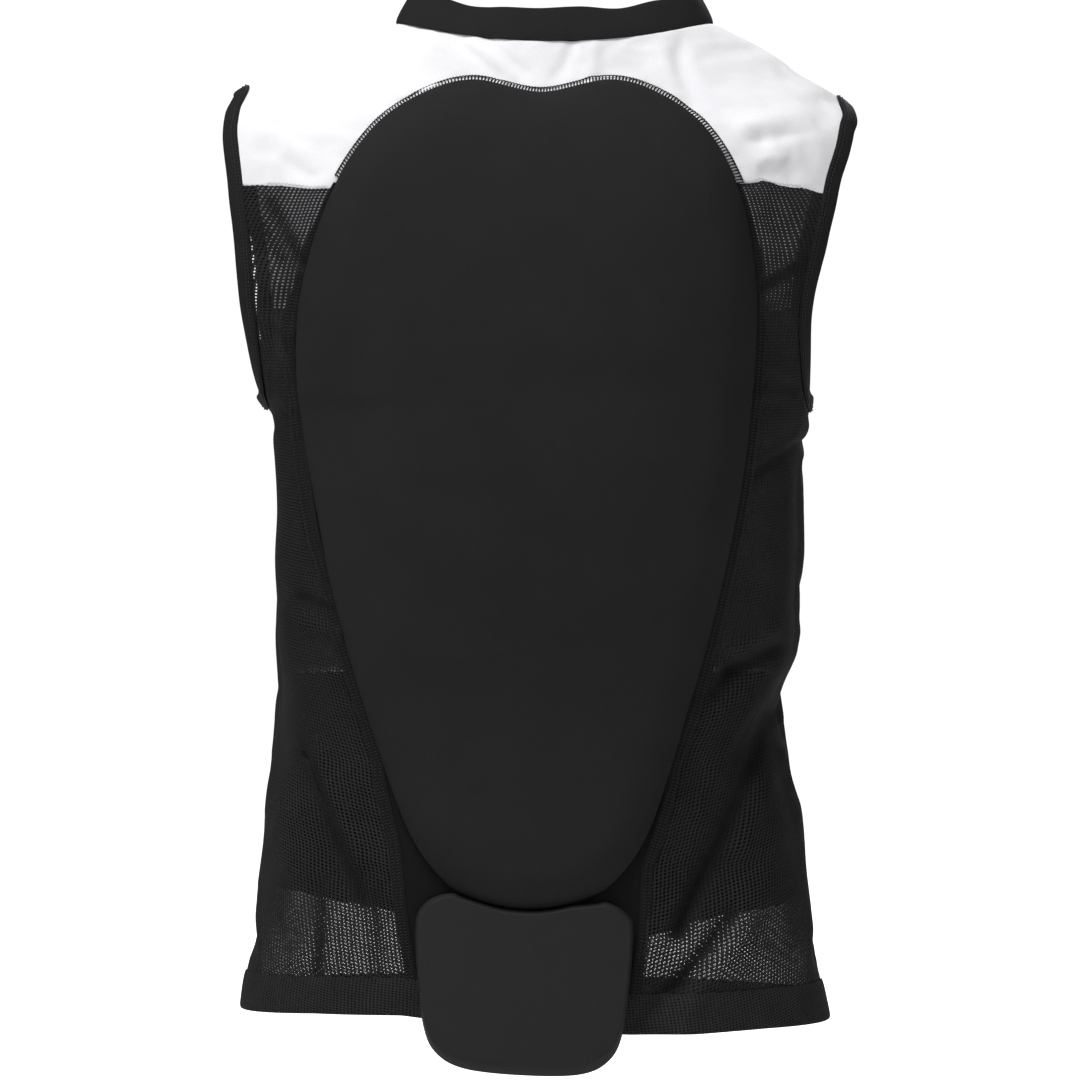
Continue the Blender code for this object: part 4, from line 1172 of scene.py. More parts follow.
# %% Cut and lay the yoke
yoke_low = run_at(YOKE_FRONT_LENGTH) + 0.03
flat = cut_panel(
    lambda run: front_turn(-ZIP_HALF_WIDTH * np.ones(len(run)), run),
    lambda run: 360 + front_turn(ZIP_HALF_WIDTH * np.ones(len(run)), run),
    (0.0, yoke_low),
    (190, 60),
    [off_armholes, above_yoke_edge, off_pad],
)
yoke = add_piece(
    "yoke", wear(flat, cloth_points, plain_weave), WHITE_KNIT, "shoulder_yoke"
)
crumple(yoke, 0.013, 0.0030, 0.0024)
thicken(yoke, 0.0010)
soften(yoke)

# %% [markdown]
# The two side panels are mesh. Each runs in one piece from the long seam beside the pad, round
# the wearer's side, to the zip in front. Its columns of holes follow the long seam, and its rows
# start level under the yoke but tip down towards the middle of the back as they near the hem.

# %% Cut and lay the mesh
ROW_TIP = 0.287


def mesh_weave(side):
    def weave(turn, run):
        back = girth_at(seam_turn(side, run), run)
        u = (girth_at(turn, run) - back) * side
        middle = girth_at(np.full(len(turn), 0.0 if side > 0 else 180.0), run)
        towards_middle = (middle - girth_at(turn, run)) * side
        tip = ROW_TIP * np.clip((run - 0.20) / (WHOLE_RUN - 0.20), 0, 1)
        return np.stack([u, run - tip * towards_middle], 1)

    return weave


def mark_folds(piece):
    """Keeps on every point how tightly it is creased, from 0 to 1: the mesh closes its holes there and is
    painted darker, as painted shade.
    """
    spots = np.array([v.co[:] for v in piece.data.vertices])
    layer = piece.data.attributes.new("folded", "FLOAT", "POINT")
    layer.data.foreach_set("value", np.clip(-fold_heights(spots, CREASES) / 0.0036, 0, 1))


for side, name in ((1, "right"), (-1, "left")):

    def seam_edge(run, side=side):
        return seam_turn(side, run)

    def zip_edge(run, side=side):
        return front_turn(side * ZIP_HALF_WIDTH * np.ones(len(run)), run)

    first, last = (seam_edge, zip_edge) if side > 0 else (zip_edge, seam_edge)
    runs = (run_at(YOKE_BACK_LENGTH) - 0.03, HEM_RUN + 0.013)
    flat = cut_panel(first, last, runs, (84, 132), [off_armholes, below_yoke_edge, off_pad])
    worn = wear(flat, cloth_points, mesh_weave(side))
    panel = add_piece(f"mesh_{name}", worn, OPEN_MESH, f"side_mesh_{name}")
    crumple(panel, 0.050, 0.006, 0.0018)
    mark_folds(panel)
    thicken(panel, 0.0004)
    soften(panel)

# %% [markdown]
# Below the pad, between the two long seams, a plain panel goes down to the hem. The tail pad
# hangs in front of it.

# %% Cut and lay the lower panel
flat = cut_panel(
    lambda run: seam_turn(-1, run) - 360,
    lambda run: seam_turn(1, run),
    (run_at(LOWER_PANEL_DROP), HEM_RUN + 0.002),
    (40, 44),
    [off_pad],
)
lower_panel = add_piece(
    "lower_panel", wear(flat, cloth_points, plain_weave), LOWER_KNIT, "lower_back_panel"
)
thicken(lower_panel, 0.0010)
soften(lower_panel)


# %% [markdown]
# The hem is a band of the same mesh, folded double at the bottom edge, and narrower in front. It
# ends at the zip's edges. The waist belt is wide ribbed elastic that goes round inside the cloth.

# %% Hem band and waist belt
FRONT_HEM_CUT = 0.42


def band(runs, prouds, turns):
    """Rows of points round the vest, each at its own run and its own height off the cloth."""
    height = 1 - FRONT_HEM_CUT * np.clip(np.sin(np.radians(turns)) * 3, 0, 1)
    heights = [WHOLE_RUN + (run - WHOLE_RUN) * height for run in runs]
    return np.array([cloth_points(turns, run, proud) for run, proud in zip(heights, prouds)])


def band_weave(turns, runs, tip=0.0):
    wraps = np.floor((turns + 90) / 360)
    lengths = girth_at(turns - 360 * wraps, np.full(len(turns), runs[0])) + wraps * ONCE_ROUND
    downs = np.concatenate([[0.0], np.cumsum(np.abs(np.diff(runs)) + 0.0005)])
    u, v = np.broadcast_arrays(lengths[None, :], downs[:, None])
    return np.stack([u, v + tip * np.abs(np.sin(np.radians(turns)))[None, :] * 0.18], -1)


hem_ends = front_turn(np.array([-ZIP_HALF_WIDTH, ZIP_HALF_WIDTH]), np.full(2, WHOLE_RUN)) + (0, 360)
equal_turns = np.linspace(*hem_ends, 260)
steps = np.linalg.norm(np.diff(form(equal_turns, WHOLE_RUN), axis=0), axis=1)
lengths = np.concatenate([[0], np.cumsum(steps)])
hem_turns = np.interp(np.linspace(0, lengths[-1], 260), lengths, equal_turns)
outer_runs = np.linspace(HEM_RUN, WHOLE_RUN, 7)
hem_runs = np.concatenate([outer_runs, [WHOLE_RUN + 0.0008], outer_runs[::-1]])
hem_prouds = np.concatenate([[0.0009], np.full(6, 0.0013), [0.0], np.full(6, -0.0011), [-0.0009]])
rows = band(hem_runs, hem_prouds, hem_turns)
hem = add_piece(
    "hem", lay(rows[::-1], band_weave(hem_turns, hem_runs, -ROW_TIP)[::-1]), HEM_MESH, "hem_band"
)
thicken(hem, 0.0007)
soften(hem)

belt_ends = (HEM_RUN + HEM_HEIGHT - BELT_ABOVE_HEM, WHOLE_RUN - BELT_ABOVE_HEM - BELT_HEIGHT)
belt_runs = np.linspace(*belt_ends, 22)
belt_turns = np.linspace(-90, 270, 181)
BELT_INSIDE = 0.0032
# How much lower than in front the belt's lower edge is behind: (across, metres).
BELT_SAG = ((-0.19, 0.0), (-0.172, -0.002), (-0.132, 0.0046), (-0.092, 0.0105), (0.0, 0.020),
            (0.079, 0.024), (0.101, 0.0158), (0.1235, 0.011), (0.158, 0.007), (0.19, 0.0))


def belt_row(run):
    """One row of the belt, 3 mm inside the cloth, and pressed in where the cloth's valleys are."""
    places = form(belt_turns, run)
    sag = np.interp(places[:, 0], *np.array(BELT_SAG).T) * np.clip(-places[:, 1] / 0.03, 0, 1)
    run = run + sag * (run - belt_runs.min()) / np.ptp(belt_runs)
    places, normals = form(belt_turns, run), outwards(belt_turns, run)
    valleys = np.minimum(fold_heights(places, FOLDS + CREASES), 0)
    return places + normals * (valleys - BELT_INSIDE)[:, None]


rows = np.array([belt_row(run) for run in belt_runs])
belt = add_piece(
    "belt", lay(rows, band_weave(belt_turns, belt_runs)), BELT_ELASTIC, "waist_belt"
)
thicken(belt, 0.0016)
soften(belt)

# %% [markdown]
# The collar is a short stand of doubled black knit. It is lowest at the sides of the neck and
# dips over the nape, and its top edge is never quite level, because stretch cloth relaxes.

# %% Collar
collar_turns = np.linspace(90 + 4.0, 450 - 4.0, 201)
NAPE_DIP = 0.0075


def collar_row(share, proud):
    """One row of the collar, from its seam at 0 to its folded top edge at 1."""
    back = np.clip(-np.sin(np.radians(collar_turns)), 0, 1) ** 1.6
    seam, normal = cloth(collar_turns, NAPE_DIP * back, 0.0)
    neck, _ = cloth(collar_turns, np.zeros(len(collar_turns)), 0.0)
    level = unit(outwards(collar_turns, np.zeros(len(collar_turns))) * (1, 1, 0))
    around = np.radians(collar_turns)
    wave = 0.0011 * np.sin(around * 7.0) + 0.0007 * np.sin(around * 13 + 1)
    top = neck - level * COLLAR_LEAN + (0, 0, 1) * (COLLAR_HEIGHT + wave)[:, None]
    bend = neck + (0, 0, 0.004)
    a, b, c = (1 - share) ** 2, 2 * share * (1 - share), share**2
    middle = seam * a + bend * b + top * c
    facing = unit(level * (0.3 + 0.7 * share) + normal * (0.7 - 0.7 * share))
    return middle + facing * proud


shares = np.linspace(0, 1, 9)
rows = [collar_row(share, 0.0013) for share in shares]
rows += [collar_row(1.0, 0.0) + (0, 0, 0.0010)]
rows += [collar_row(share, -0.0011) for share in shares[::-1]]
collar_lengths = np.linspace(0, 0.62, len(collar_turns))
collar_downs = np.linspace(0, 0.045, len(rows))
weave = np.stack(np.broadcast_arrays(collar_lengths[None, :], collar_downs[:, None]), -1)
collar = add_piece("neck_collar", lay(np.array(rows), weave), BLACK_KNIT, "collar")
thicken(collar, 0.0008)
soften(collar)


# %% [markdown]
# Each armhole is bound with an elastic tape, folded over the cloth's edge so that a strip of
# equal width shows inside and outside.

# %% Armhole bindings
def armhole_frame(side, count):
    """Points, normals and ways off the hole, evenly spaced round an armhole's edge."""
    angle = np.linspace(0, 2 * math.pi, 1500)
    loop = cloth(*armhole_edge(side, angle))[0]
    lengths = np.concatenate([[0.0], np.cumsum(np.linalg.norm(np.diff(loop, axis=0), axis=1))])
    angle = np.interp(np.linspace(0, lengths[-1], count, endpoint=False), lengths, angle)
    points, facing = cloth(*armhole_edge(side, angle))
    beyond = cloth(*armhole_edge(side, angle, BINDING_WIDTH))[0]
    along = unit(np.roll(points, -1, 0) - np.roll(points, 1, 0))
    off = beyond - points
    off = unit(off - along * (off * along).sum(1)[:, None])
    normals = np.cross(along, off)
    normals *= np.sign((normals * facing).sum(1))[:, None]
    return points, normals, off, lengths[-1]


# How the folded tape lies: metres off the edge, and metres off the cloth.
TAPE = (
    (BINDING_WIDTH, 0.0010),
    (BINDING_WIDTH * 0.96, 0.0016),
    (BINDING_WIDTH * 0.70, 0.0020),
    (BINDING_WIDTH * 0.35, 0.0021),
    (BINDING_WIDTH * 0.06, 0.0018),
    (-0.0004, 0.0010),
    (-0.0008, 0.0),
    (-0.0004, -0.0010),
    (BINDING_WIDTH * 0.06, -0.0017),
    (BINDING_WIDTH * 0.50, -0.0018),
    (BINDING_WIDTH * 0.96, -0.0014),
    (BINDING_WIDTH, -0.0009),
)
for side, name in ((1, "right"), (-1, "left")):
    points, normals, off, length = armhole_frame(side, 220)
    rows = np.array([points + off * out + normals * up for out, up in TAPE])
    rows = np.concatenate([rows, rows[:, :1]], 1)
    lengths = np.linspace(0, length, rows.shape[1])
    downs = np.concatenate([[0], np.cumsum(np.linalg.norm(np.diff(np.array(TAPE), axis=0), axis=1))])
    weave = np.stack(np.broadcast_arrays(lengths[None, :], downs[:, None]), -1)
    made = lay(rows, weave)
    bmesh.ops.recalc_face_normals(made, faces=made.faces[:])
    binding = add_piece(f"binding_{name}", made, ELASTIC, f"armhole_binding_{name}")
    thicken(binding, 0.0006)
    soften(binding)


# %% [markdown]
# The back pad is foam under stretched knit: a crown that is nearly flat, with a rolled edge two
# and a half centimetres wide. Rings of the outline, drawn closer together near the edge, step in towards a
# line up the middle, and each ring's height comes from how far in it lies.

# %% Back pad
PAD_ROLL = 0.0250
PAD_FOOT = 0.0035
PAD_CROWN = 0.0034


def pad_height(inset):
    """How proud the pad's cover is at a distance in from its edge."""
    share = np.clip(inset / PAD_ROLL, 0, 1)
    crown = PAD_CROWN * np.clip(inset / 0.12, 0, 1) ** 0.8
    roll = np.sqrt(1 - (1 - share) ** 2.2) * 0.38 + (share * (2 - share)) * 0.62
    return PAD_FOOT + (PAD_THICKNESS - PAD_FOOT) * roll + crown


def cover_edge():
    """The pad's outline, drawn in a little at the top, where the seam lies over its edge."""
    high = np.clip((PAD_EDGE[:, 1] + YOKE_BACK_LENGTH) / (YOKE_BACK_LENGTH - PAD_TOP_DROP), 0, 1)
    drawn_in = grown(PAD_EDGE, -1.0) - PAD_EDGE
    return PAD_EDGE + drawn_in * (0.0024 * high**0.5)[:, None]


COVER_EDGE = cover_edge()


def pad_rings(outline, spine, shares):
    """The outline stepped in towards a line up its middle, as an array of rings of (x, z)."""
    low, high = spine
    z = np.clip(outline[:, 1], low, high)
    middle = np.stack([np.full(len(z), outline[:, 0].mean()), z], 1)
    return np.array([outline + (middle - outline) * share for share in shares])


rim_shares = [0.0, 0.004, 0.010, 0.018, 0.028, 0.040, 0.054, 0.070, 0.090, 0.115]
pad_shares = np.concatenate([rim_shares, np.linspace(0.15, 1.0, 24)])
pad_spine = (-PAD_TOP_DROP - 0.80 * PAD_LENGTH, -PAD_TOP_DROP - 0.24 * PAD_LENGTH)
rings_xz = pad_rings(COVER_EDGE, pad_spine, pad_shares)


def back_y(points):
    """The y of the smooth back at each (x, z)."""
    turn, run = back_place(points[..., 0].ravel(), points[..., 1].ravel())
    return form(turn, run)[:, 1].reshape(points.shape[:-1])


ring_y = back_y(rings_xz)
insets = np.array([np.maximum(inside_outline(ring, COVER_EDGE), 0) for ring in rings_xz])
front_rows = np.stack([rings_xz[..., 0], ring_y - pad_height(insets), rings_xz[..., 1]], -1)
side_rows = np.stack([rings_xz[:1, :, 0], ring_y[:1] - 0.0002, rings_xz[:1, :, 1]], -1)
bulge = grown(COVER_EDGE, 0.0004)
side_row = np.stack([bulge[:, 0], ring_y[0] - PAD_FOOT * 0.5, bulge[:, 1]], -1)[None]
lining_shares = [0.0, 0.06, 0.3, 0.6, 1.0]
lining_xz = pad_rings(COVER_EDGE, pad_spine, lining_shares)
lining = np.stack([lining_xz[..., 0], back_y(lining_xz) + 0.0006, lining_xz[..., 1]], -1)
rows = np.concatenate([lining[::-1], side_rows, side_row, front_rows])
rows = np.concatenate([rows, rows[:, :1]], 1)
made = lay(rows)
bmesh.ops.recalc_face_normals(made, faces=made.faces[:])
back_pad = add_piece("pad_cover", made, PAD_KNIT, "back_pad")

# %% [markdown]
# The tail pad is moulded foam with a thin flange round it, and hangs over the lower panel. Its
# top edge is cut along the back pad's foot.

# %% Tail pad
TAIL_WALL = 0.0030
TAIL_FULL = 0.0100

edge = tail_outline(220)
depth_in = inside_outline(edge, grown(PAD_EDGE, 0.0009))
foot = PAD_EDGE[PAD_EDGE[:, 1] < -LOWER_PANEL_DROP]
foot = foot[np.argsort(foot[:, 0])]
foot_z = np.interp(edge[:, 0], foot[:, 0], foot[:, 1]) - 0.0009
edge[:, 1] = np.where(depth_in > 0, np.minimum(edge[:, 1], foot_z), edge[:, 1])
low = np.clip((-TAIL_TOP - edge[:, 1]) / TAIL_LENGTH, 0, 1)
edge[:, 1] -= 0.05 * (edge[:, 0] - TAIL_ACROSS) * low**2
high = np.clip(1 - low / 0.22, 0, 1)
edge[:, 1] -= np.interp(edge[:, 0], (-0.080, -0.045, 0.020, 0.060), (0.0050, 0.0, 0.0, 0.0125)) * high
edge[:, 0] -= 0.0030 * np.clip((TAIL_ACROSS - edge[:, 0]) / 0.05, 0, 1) * low
edge = evenly(edge, 220)
rim_shares = [0.0, 0.008, 0.018, 0.030, 0.045, 0.065, 0.09, 0.12, 0.16]
tail_shares = np.concatenate([rim_shares, np.linspace(0.24, 1.0, 10)])
centre = edge.mean(0)
tail_xz = np.array([edge + (centre - edge) * share for share in tail_shares])


TAIL_LOW = -TAIL_TOP - 0.70 * TAIL_LENGTH


def tail_height(inset, ring):
    """A thin rim, a bevel that is broad at the foot and narrow at the sides, then the flat."""
    low = np.clip((TAIL_LOW - ring[:, 1]) / TAIL_LENGTH / 0.22, 0, 1)
    bevel = 0.0018 + 0.0050 * low**1.5
    share = np.clip(inset / bevel, 0, 1)
    return TAIL_WALL + (TAIL_FULL - TAIL_WALL) * (share * 0.55 + 0.45 * (1 - (1 - share) ** 2))


tail_y = back_y(tail_xz) - 0.0018
insets = np.array([np.maximum(inside_outline(ring, edge), 0) for ring in tail_xz])
heights = np.array([tail_height(inset, ring) for inset, ring in zip(insets, tail_xz)])
front_rows = np.stack([tail_xz[..., 0], tail_y - heights, tail_xz[..., 1]], -1)
rear_xz = tail_xz[[0, 4, 12, 18]]
rear = np.stack([rear_xz[..., 0], back_y(rear_xz) - 0.0018, rear_xz[..., 1]], -1)
rows = np.concatenate([rear[::-1], front_rows])
rows = np.concatenate([rows, rows[:, :1]], 1)
made = lay(rows)
bmesh.ops.recalc_face_normals(made, faces=made.faces[:])
tail = add_piece("tail_cover", made, FOAM, "tail_pad")

# %% [markdown]
# Stitches are real threads. One is a bent rod with both ends in the cloth, made once with a few
# faces and then repeated along a seam, because hundreds of them lie side by side.

# %% One stitch, repeated
def stitch_template():
    """A five-sided rod from z = 0 to 1, of radius 1."""
    made = bmesh.new()
    bmesh.ops.create_circle(made, segments=5, radius=1.0)
    edges = made.edges[:]
    for _ in range(4):
        grown_parts = bmesh.ops.extrude_edge_only(made, edges=edges)["geom"]
        moved = [part for part in grown_parts if isinstance(part, bmesh.types.BMVert)]
        edges = [part for part in grown_parts if isinstance(part, bmesh.types.BMEdge)]
        bmesh.ops.translate(made, verts=moved, vec=(0, 0, 0.25))
    mesh = bpy.data.meshes.new("stitch")
    made.to_mesh(mesh)
    made.free()
    return mesh


STITCH = stitch_template()
STITCH_SPOTS = np.array([v.co[:] for v in STITCH.vertices])


def stitches(name, starts, ends, normals, thick, finish, lift=0.5):
    """One piece of many stitches, each an arch of thread from its start to its end."""
    made = bmesh.new()
    for _ in range(len(starts)):
        made.from_mesh(STITCH)
    piece = add_piece(name, made, finish)
    share = STITCH_SPOTS[:, 2]
    way = ends - starts
    aside = unit(np.cross(way, normals))
    arch = (1 - (2 * share - 1) ** 4) * lift - (1 - lift) * 0.5
    up = (arch + STITCH_SPOTS[:, 1] * 0.5) * thick
    places = starts[:, None] + way[:, None] * share[None, :, None]
    places = places + normals[:, None] * up[None, :, None]
    places = places + aside[:, None] * (STITCH_SPOTS[:, 0] * 0.5 * thick)[None, :, None]
    piece.data.vertices.foreach_set("co", places.ravel())
    piece.data.update()
    return piece


VEST_MIDDLE = (0.0, -0.3)
STITCH_PITCH = 0.0021


def outward_line(line, by):
    """An open line of (x, z) moved away from the middle of the vest."""
    way = unit(np.gradient(line, axis=0))
    off = np.stack([-way[:, 1], way[:, 0]], 1)
    off *= np.where((off * (line - VEST_MIDDLE)).sum(1) < 0, -1, 1)[:, None]
    return line + off * np.asarray(by).reshape(-1, 1)


def spaced(line, pitch):
    """An open line of (x, z) with a point every pitch."""
    length = np.linalg.norm(np.diff(line, axis=0), axis=1).sum()
    return evenly(line, int(length / pitch), closed=False)


def on_cloth(line, proud=0.0):
    """(points, normals) of the cloth behind a line of (x, z)."""
    turn, run = back_place(*line.T)
    return cloth(turn, run, proud)


def ribbon(name, line, widths, proud, finish, starts=0.0):
    """A flat strip of cloth beside a line, a little proud along its middle."""
    rows = []
    for share in np.linspace(0, 1, 7):
        height = 0.0003 + proud * (1 - (2 * share - 1) ** 4)
        rows.append(on_cloth(outward_line(line, starts + (widths - starts) * share), height)[0])
    lengths = np.concatenate([[0], np.cumsum(np.linalg.norm(np.diff(rows[3], axis=0), axis=1))])
    downs = np.linspace(0, np.max(widths), 7)
    weave = np.stack(np.broadcast_arrays(lengths[None, :], downs[:, None]), -1)
    made = lay(np.array(rows), weave)
    outward = made.faces[:][len(made.faces) // 2]
    if outward.normal.y > 0:
        bmesh.ops.reverse_faces(made, faces=made.faces[:])
    return thicken(add_piece(name, made, finish), 0.0005)


# %% [markdown]
# The pad's cover is joined to the yoke with a flatlock seam: a flat strip, crossed by black
# threads that stand out on the white. It is broadest over the shoulder blades and narrows
# towards the mesh.

# %% Flatlock seam over the yoke
top_edge = np.roll(PAD_EDGE, 180, 0)
top_edge = top_edge[top_edge[:, 1] > -YOKE_BACK_LENGTH]
share = np.linspace(-1, 1, 400)
top_edge = evenly(top_edge, 400, closed=False)
aside = top_edge[:, 0] / PAD_HALF_WIDTH
arch_widths = np.interp(aside, (-0.95, -0.7, -0.3, 0.8, 0.95), (0.0024, 0.0038, 0.0046, 0.0046, 0.0036))
arch_starts = -0.0024 * np.sqrt(1 - np.abs(share) ** 4)
white_strip = ribbon("seam_yoke", top_edge, arch_widths, 0.0006, WHITE_KNIT, arch_starts)
length = np.linalg.norm(np.diff(top_edge, axis=0), axis=1).sum()
count = int(length / STITCH_PITCH)
spots = evenly(top_edge, count, closed=False)
widths = np.interp(np.linspace(0, 1, count), np.linspace(0, 1, 400), arch_widths)
first = np.interp(np.linspace(0, 1, count), np.linspace(0, 1, 400), arch_starts)
starts, normals = on_cloth(outward_line(spots, first - 0.0004), 0.0014)
along = np.gradient(starts, axis=0)
ends, _ = on_cloth(outward_line(spots, widths + 0.0001), 0.0012)
bars = stitches("stitch_yoke", starts, ends + along * 0.55, normals, 0.00105, BLACK_THREAD)
rim = outward_line(top_edge, arch_widths)
rim = spaced(rim, STITCH_PITCH)
points, normals = on_cloth(rim, 0.0012)
rim_thread = stitches(
    "stitch_yoke_rim", points[:-1], points[1:], normals[:-1], 0.0009, BLACK_THREAD, 0.9
)

# %% [markdown]
# In the mesh the same seam is black on black. It runs beside the pad and straight on down to the
# hem, and each of its two rows of short stitches sinks a little into the strip.

# %% Long seams
for side, name in ((1, "right"), (-1, "left")):
    line = LONG_SEAMS[side]
    line = line[(line[:, 1] < -YOKE_BACK_LENGTH + 0.001) & (line[:, 1] > -BODY_LENGTH + 0.002)]
    line = evenly(line, 280, closed=False)
    line[:, 0] += side * 0.0003
    strip_widths = np.interp(line[:, 1], (-0.215, -0.185, -YOKE_BACK_LENGTH), (0.0068, 0.0052, 0.0016))
    strip = ribbon(f"seam_{name}", line, strip_widths, 0.0005, SEAM_STRIP, -0.0016)
    spots = spaced(line, STITCH_PITCH)
    narrow = np.interp(spots[:, 1], (-0.215, -0.185, -YOKE_BACK_LENGTH), (1.0, 0.76, 0.22))
    for row, (near, far) in enumerate(((0.0008, 0.0029), (0.0040, 0.0061))):
        starts, normals = on_cloth(outward_line(spots, near * narrow), 0.0011)
        ends, _ = on_cloth(outward_line(spots, far * narrow), 0.0011)
        along = np.gradient(starts, axis=0)
        ends = ends + along * 0.3
        threads = stitches(f"stitch_{name}_{row}", starts, ends, normals, 0.0009, BLACK_THREAD)

# %% [markdown]
# The yoke's lower edge is turned under and caught with a fine zigzag. The bindings are held by a
# double row of stitches near the edge that is away from the hole.

# %% Zigzag on the yoke's edge and stitches in the bindings
for side, name in ((1, "right"), (-1, "left")):
    turns = np.linspace(-89.0, -8.0, 900) if side > 0 else np.linspace(269.0, 188.0, 900)
    run = np.full(900, run_at(YOKE_BACK_LENGTH))
    for _ in range(12):
        places = form(turns, run)
        run += (places[:, 2] - yoke_edge(places)) * 0.9
    keep = (off_pad(turns, run) > 0.004) & (off_armholes(turns, run) > BINDING_WIDTH + 0.001)
    places = np.stack([turns[keep], run[keep]], 1)
    metres = np.concatenate([[0], np.cumsum(np.linalg.norm(np.diff(form(*places.T), axis=0), axis=1))])
    wanted = np.arange(0, metres[-1], 0.0013)
    t, r = (np.interp(wanted, metres, column) for column in places.T)
    wobble = np.where(np.arange(len(t)) % 2, -0.0012, -0.0026)
    points, normals = cloth(t, r + wobble, 0.0007)
    starts, ends, normals = points[:-1], points[1:], normals[:-1]
    threads = stitches(f"zigzag_{name}", starts, ends, normals, 0.0005, YOKE_THREAD, 0.8)

for side, name in ((1, "right"), (-1, "left")):
    points, normals, off, _ = armhole_frame(side, 250)
    rows = []
    for share in (0.66, 0.86):
        spots = points + off * BINDING_WIDTH * share + normals * 0.0023
        rows.append((spots, spots + (np.roll(spots, -1, 0) - spots) * 0.62))
    starts = np.concatenate([row[0] for row in rows])
    ends = np.concatenate([row[1] for row in rows])
    normals = np.concatenate([normals, normals])
    threads = stitches(f"stitch_binding_{name}", starts, ends, normals, 0.0007, GREY_THREAD)

# %% [markdown]
# A long zip closes the front. Its tapes are woven, its teeth are a coil, and the slider rests at
# the top with its pull hanging down.

# %% Zip
def front_line(count):
    """(points, normals) down the middle of the front, from the collar's top to the hem."""
    runs = np.linspace(0, WHOLE_RUN, count)
    turns = front_turn(np.zeros(count), runs)
    points, normals = form(turns, runs), outwards(turns, runs)
    top = points[0] + (0, -COLLAR_LEAN, COLLAR_HEIGHT)
    return np.vstack([top[None], points]), np.vstack([normals[:1] * (1, 1, 0.2), normals])


zip_points, zip_normals = front_line(90)
columns = np.linspace(-ZIP_HALF_WIDTH - 0.001, ZIP_HALF_WIDTH + 0.001, 9)
rows = zip_points[:, None, :] + columns[None, :, None] * np.array([1.0, 0, 0]) + zip_normals[:, None] * 0.0006
downs = np.concatenate([[0], np.cumsum(np.linalg.norm(np.diff(zip_points, axis=0), axis=1))])
weave = np.stack(np.broadcast_arrays(downs[:, None], columns[None, :]), -1)
made = lay(rows, weave)
bmesh.ops.recalc_face_normals(made, faces=made.faces[:])
zip_tape = add_piece("zip_tape", made, ZIP_TAPE, "front_zip")
thicken(zip_tape, 0.0014)
soften(zip_tape)

coil_points = evenly(zip_points, int(downs[-1] / 0.0017), closed=False)
coil_normals = np.stack(
    [np.interp(coil_points[:, 2], zip_points[::-1, 2], column[::-1]) for column in zip_normals.T], 1
)
coil_middles = coil_points + coil_normals * 0.0016
coil_reach = np.array([0.0022, 0, 0])
stitches(
    "zip_teeth", coil_middles - coil_reach, coil_middles + coil_reach, coil_normals, 0.0012, ZIP_COIL
)


def bevelled_block(size, offset):
    """A block with soft edges, moved by an offset."""
    made = bmesh.new()
    bmesh.ops.create_cube(made, size=1.0)
    bmesh.ops.scale(made, vec=size, verts=made.verts[:])
    bmesh.ops.bevel(
        made, geom=made.edges[:], offset=min(size) * 0.3, segments=3, affect="EDGES", profile=0.5, material=-1
    )
    bmesh.ops.translate(made, vec=offset, verts=made.verts[:])
    bmesh.ops.recalc_face_normals(made, faces=made.faces[:])
    return made


slider_up = unit(zip_points[1] - zip_points[3])
slider_out = unit(np.cross(slider_up, (1.0, 0, 0)))
slider_out *= np.sign(slider_out[1])
slider_frame = Matrix((Vector((1, 0, 0)), Vector(slider_up), Vector(slider_out))).transposed().to_4x4()
slider_frame.translation = Vector(zip_points[2] + slider_out * 0.0030)
for name, size, offset in (
    ("zip_slider", (0.0082, 0.0100, 0.0040), (0, 0, 0)),
    ("zip_pull", (0.0046, 0.0240, 0.0014), (0, -0.0130, 0.0030)),
):
    made = bevelled_block(size, offset)
    bmesh.ops.transform(made, matrix=slider_frame, verts=made.verts[:])
    add_piece(name, made, ZIP_COIL)

# %% [markdown]
# The photograph's camera stands level, three metres behind the vest and a little over the waist.
# The light is soft and comes from the upper left, with weaker ones from the right and in front.
# The floor is a plain pale disc.

# %% Camera, light and floor
CAMERA_AWAY = 3.2
CAMERA_HEIGHT = -0.350
FRAME_WIDTH = 0.7344
FLOOR_HEIGHT = -0.80

camera_data = bpy.data.cameras.new("camera")
camera_data.sensor_width = 36.0
camera_data.lens = 36.0 * CAMERA_AWAY / FRAME_WIDTH
camera = bpy.data.objects.new("camera", camera_data)
camera.location = (0.0, -CAMERA_AWAY, CAMERA_HEIGHT)
camera.rotation_euler = (math.radians(90), 0, 0)
bpy.context.scene.collection.objects.link(camera)
bpy.context.scene.camera = camera
bpy.context.scene.view_settings.view_transform = "Standard"


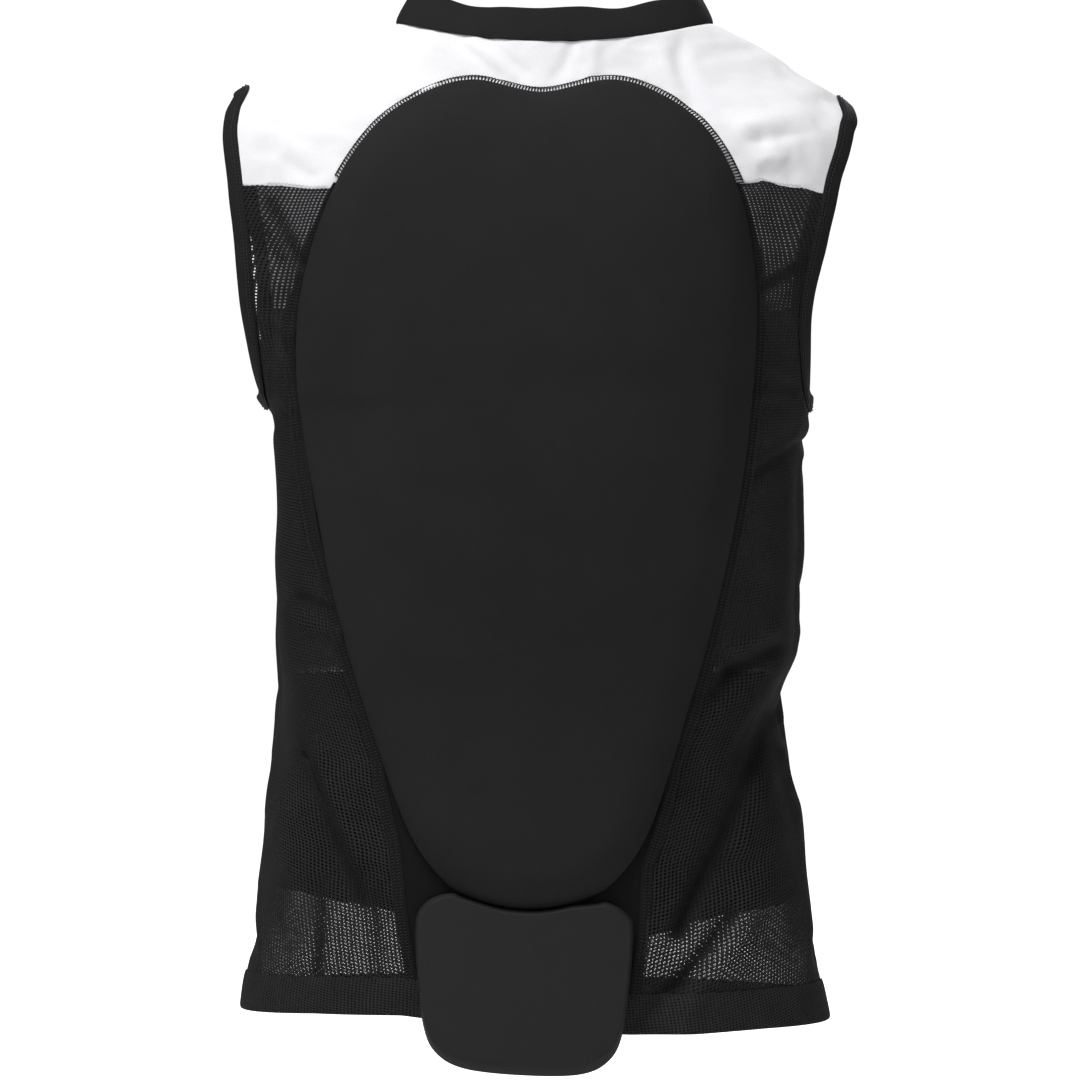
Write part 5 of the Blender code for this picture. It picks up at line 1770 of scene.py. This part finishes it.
def area_light(name, place, aim, size, watts):
    data = bpy.data.lights.new(name, "AREA")
    data.shape = "DISK"
    data.size = size
    data.energy = watts
    light = bpy.data.objects.new(name, data)
    light.location = place
    light.rotation_mode = "QUATERNION"
    light.rotation_quaternion = (Vector(aim) - Vector(place)).to_track_quat("-Z", "Y")
    bpy.context.scene.collection.objects.link(light)


area_light("top light", (-0.7, -1.1, 2.5), (0, 0, -0.2), 1.3, 80)
area_light("key", (-1.7, -2.3, 0.7), (0, 0, -0.35), 1.4, 11)
area_light("fill", (2.0, -2.4, 0.3), (0, 0, -0.35), 1.6, 3)
area_light("front light", (1.0, 2.6, 1.2), (0, 0, -0.3), 1.6, 30)

world = bpy.data.worlds.new("studio")
bpy.context.scene.world = world
world.use_nodes = True
sky = world.node_tree.nodes["Background"]
sky.inputs["Color"].default_value = (1, 1, 1, 1)
light_path = world.node_tree.nodes.new("ShaderNodeLightPath")
strength = world.node_tree.nodes.new("ShaderNodeMapRange")
strength.inputs[3].default_value = 0.16
strength.inputs[4].default_value = 1.05
world.node_tree.links.new(light_path.outputs["Is Camera Ray"], strength.inputs[0])
world.node_tree.links.new(strength.outputs[0], sky.inputs["Strength"])

made = bmesh.new()
bmesh.ops.create_circle(made, cap_ends=True, segments=96, radius=9.0)
for vert in made.verts:
    vert.co.z = FLOOR_HEIGHT
mesh = bpy.data.meshes.new("floor")
made.to_mesh(mesh)
made.free()
floor = bpy.data.objects.new("floor", mesh)
bpy.context.scene.collection.objects.link(floor)
floor_finish, shader, yarn = start_finish("floor", (0.92, 0.92, 0.92), 0.9)
shader.inputs["Emission Strength"].default_value = 1.0
seen = yarn.node("ShaderNodeLightPath")
into(shader, "Emission Color", seen.mix((0.15, 0.15, 0.15), (1.0, 1.0, 1.0)))
mesh.materials.append(floor_finish)
floor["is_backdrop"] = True

# %% [markdown]
# The finished vest is measured next to the imported model's box.

# %% Measure the vest
for side in (1, -1):
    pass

visual_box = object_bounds()
for key, box in (("packed", CAD_BOX), ("dressed", visual_box)):
    print(key, [round(float(c), 4) for corner in box for c in corner])
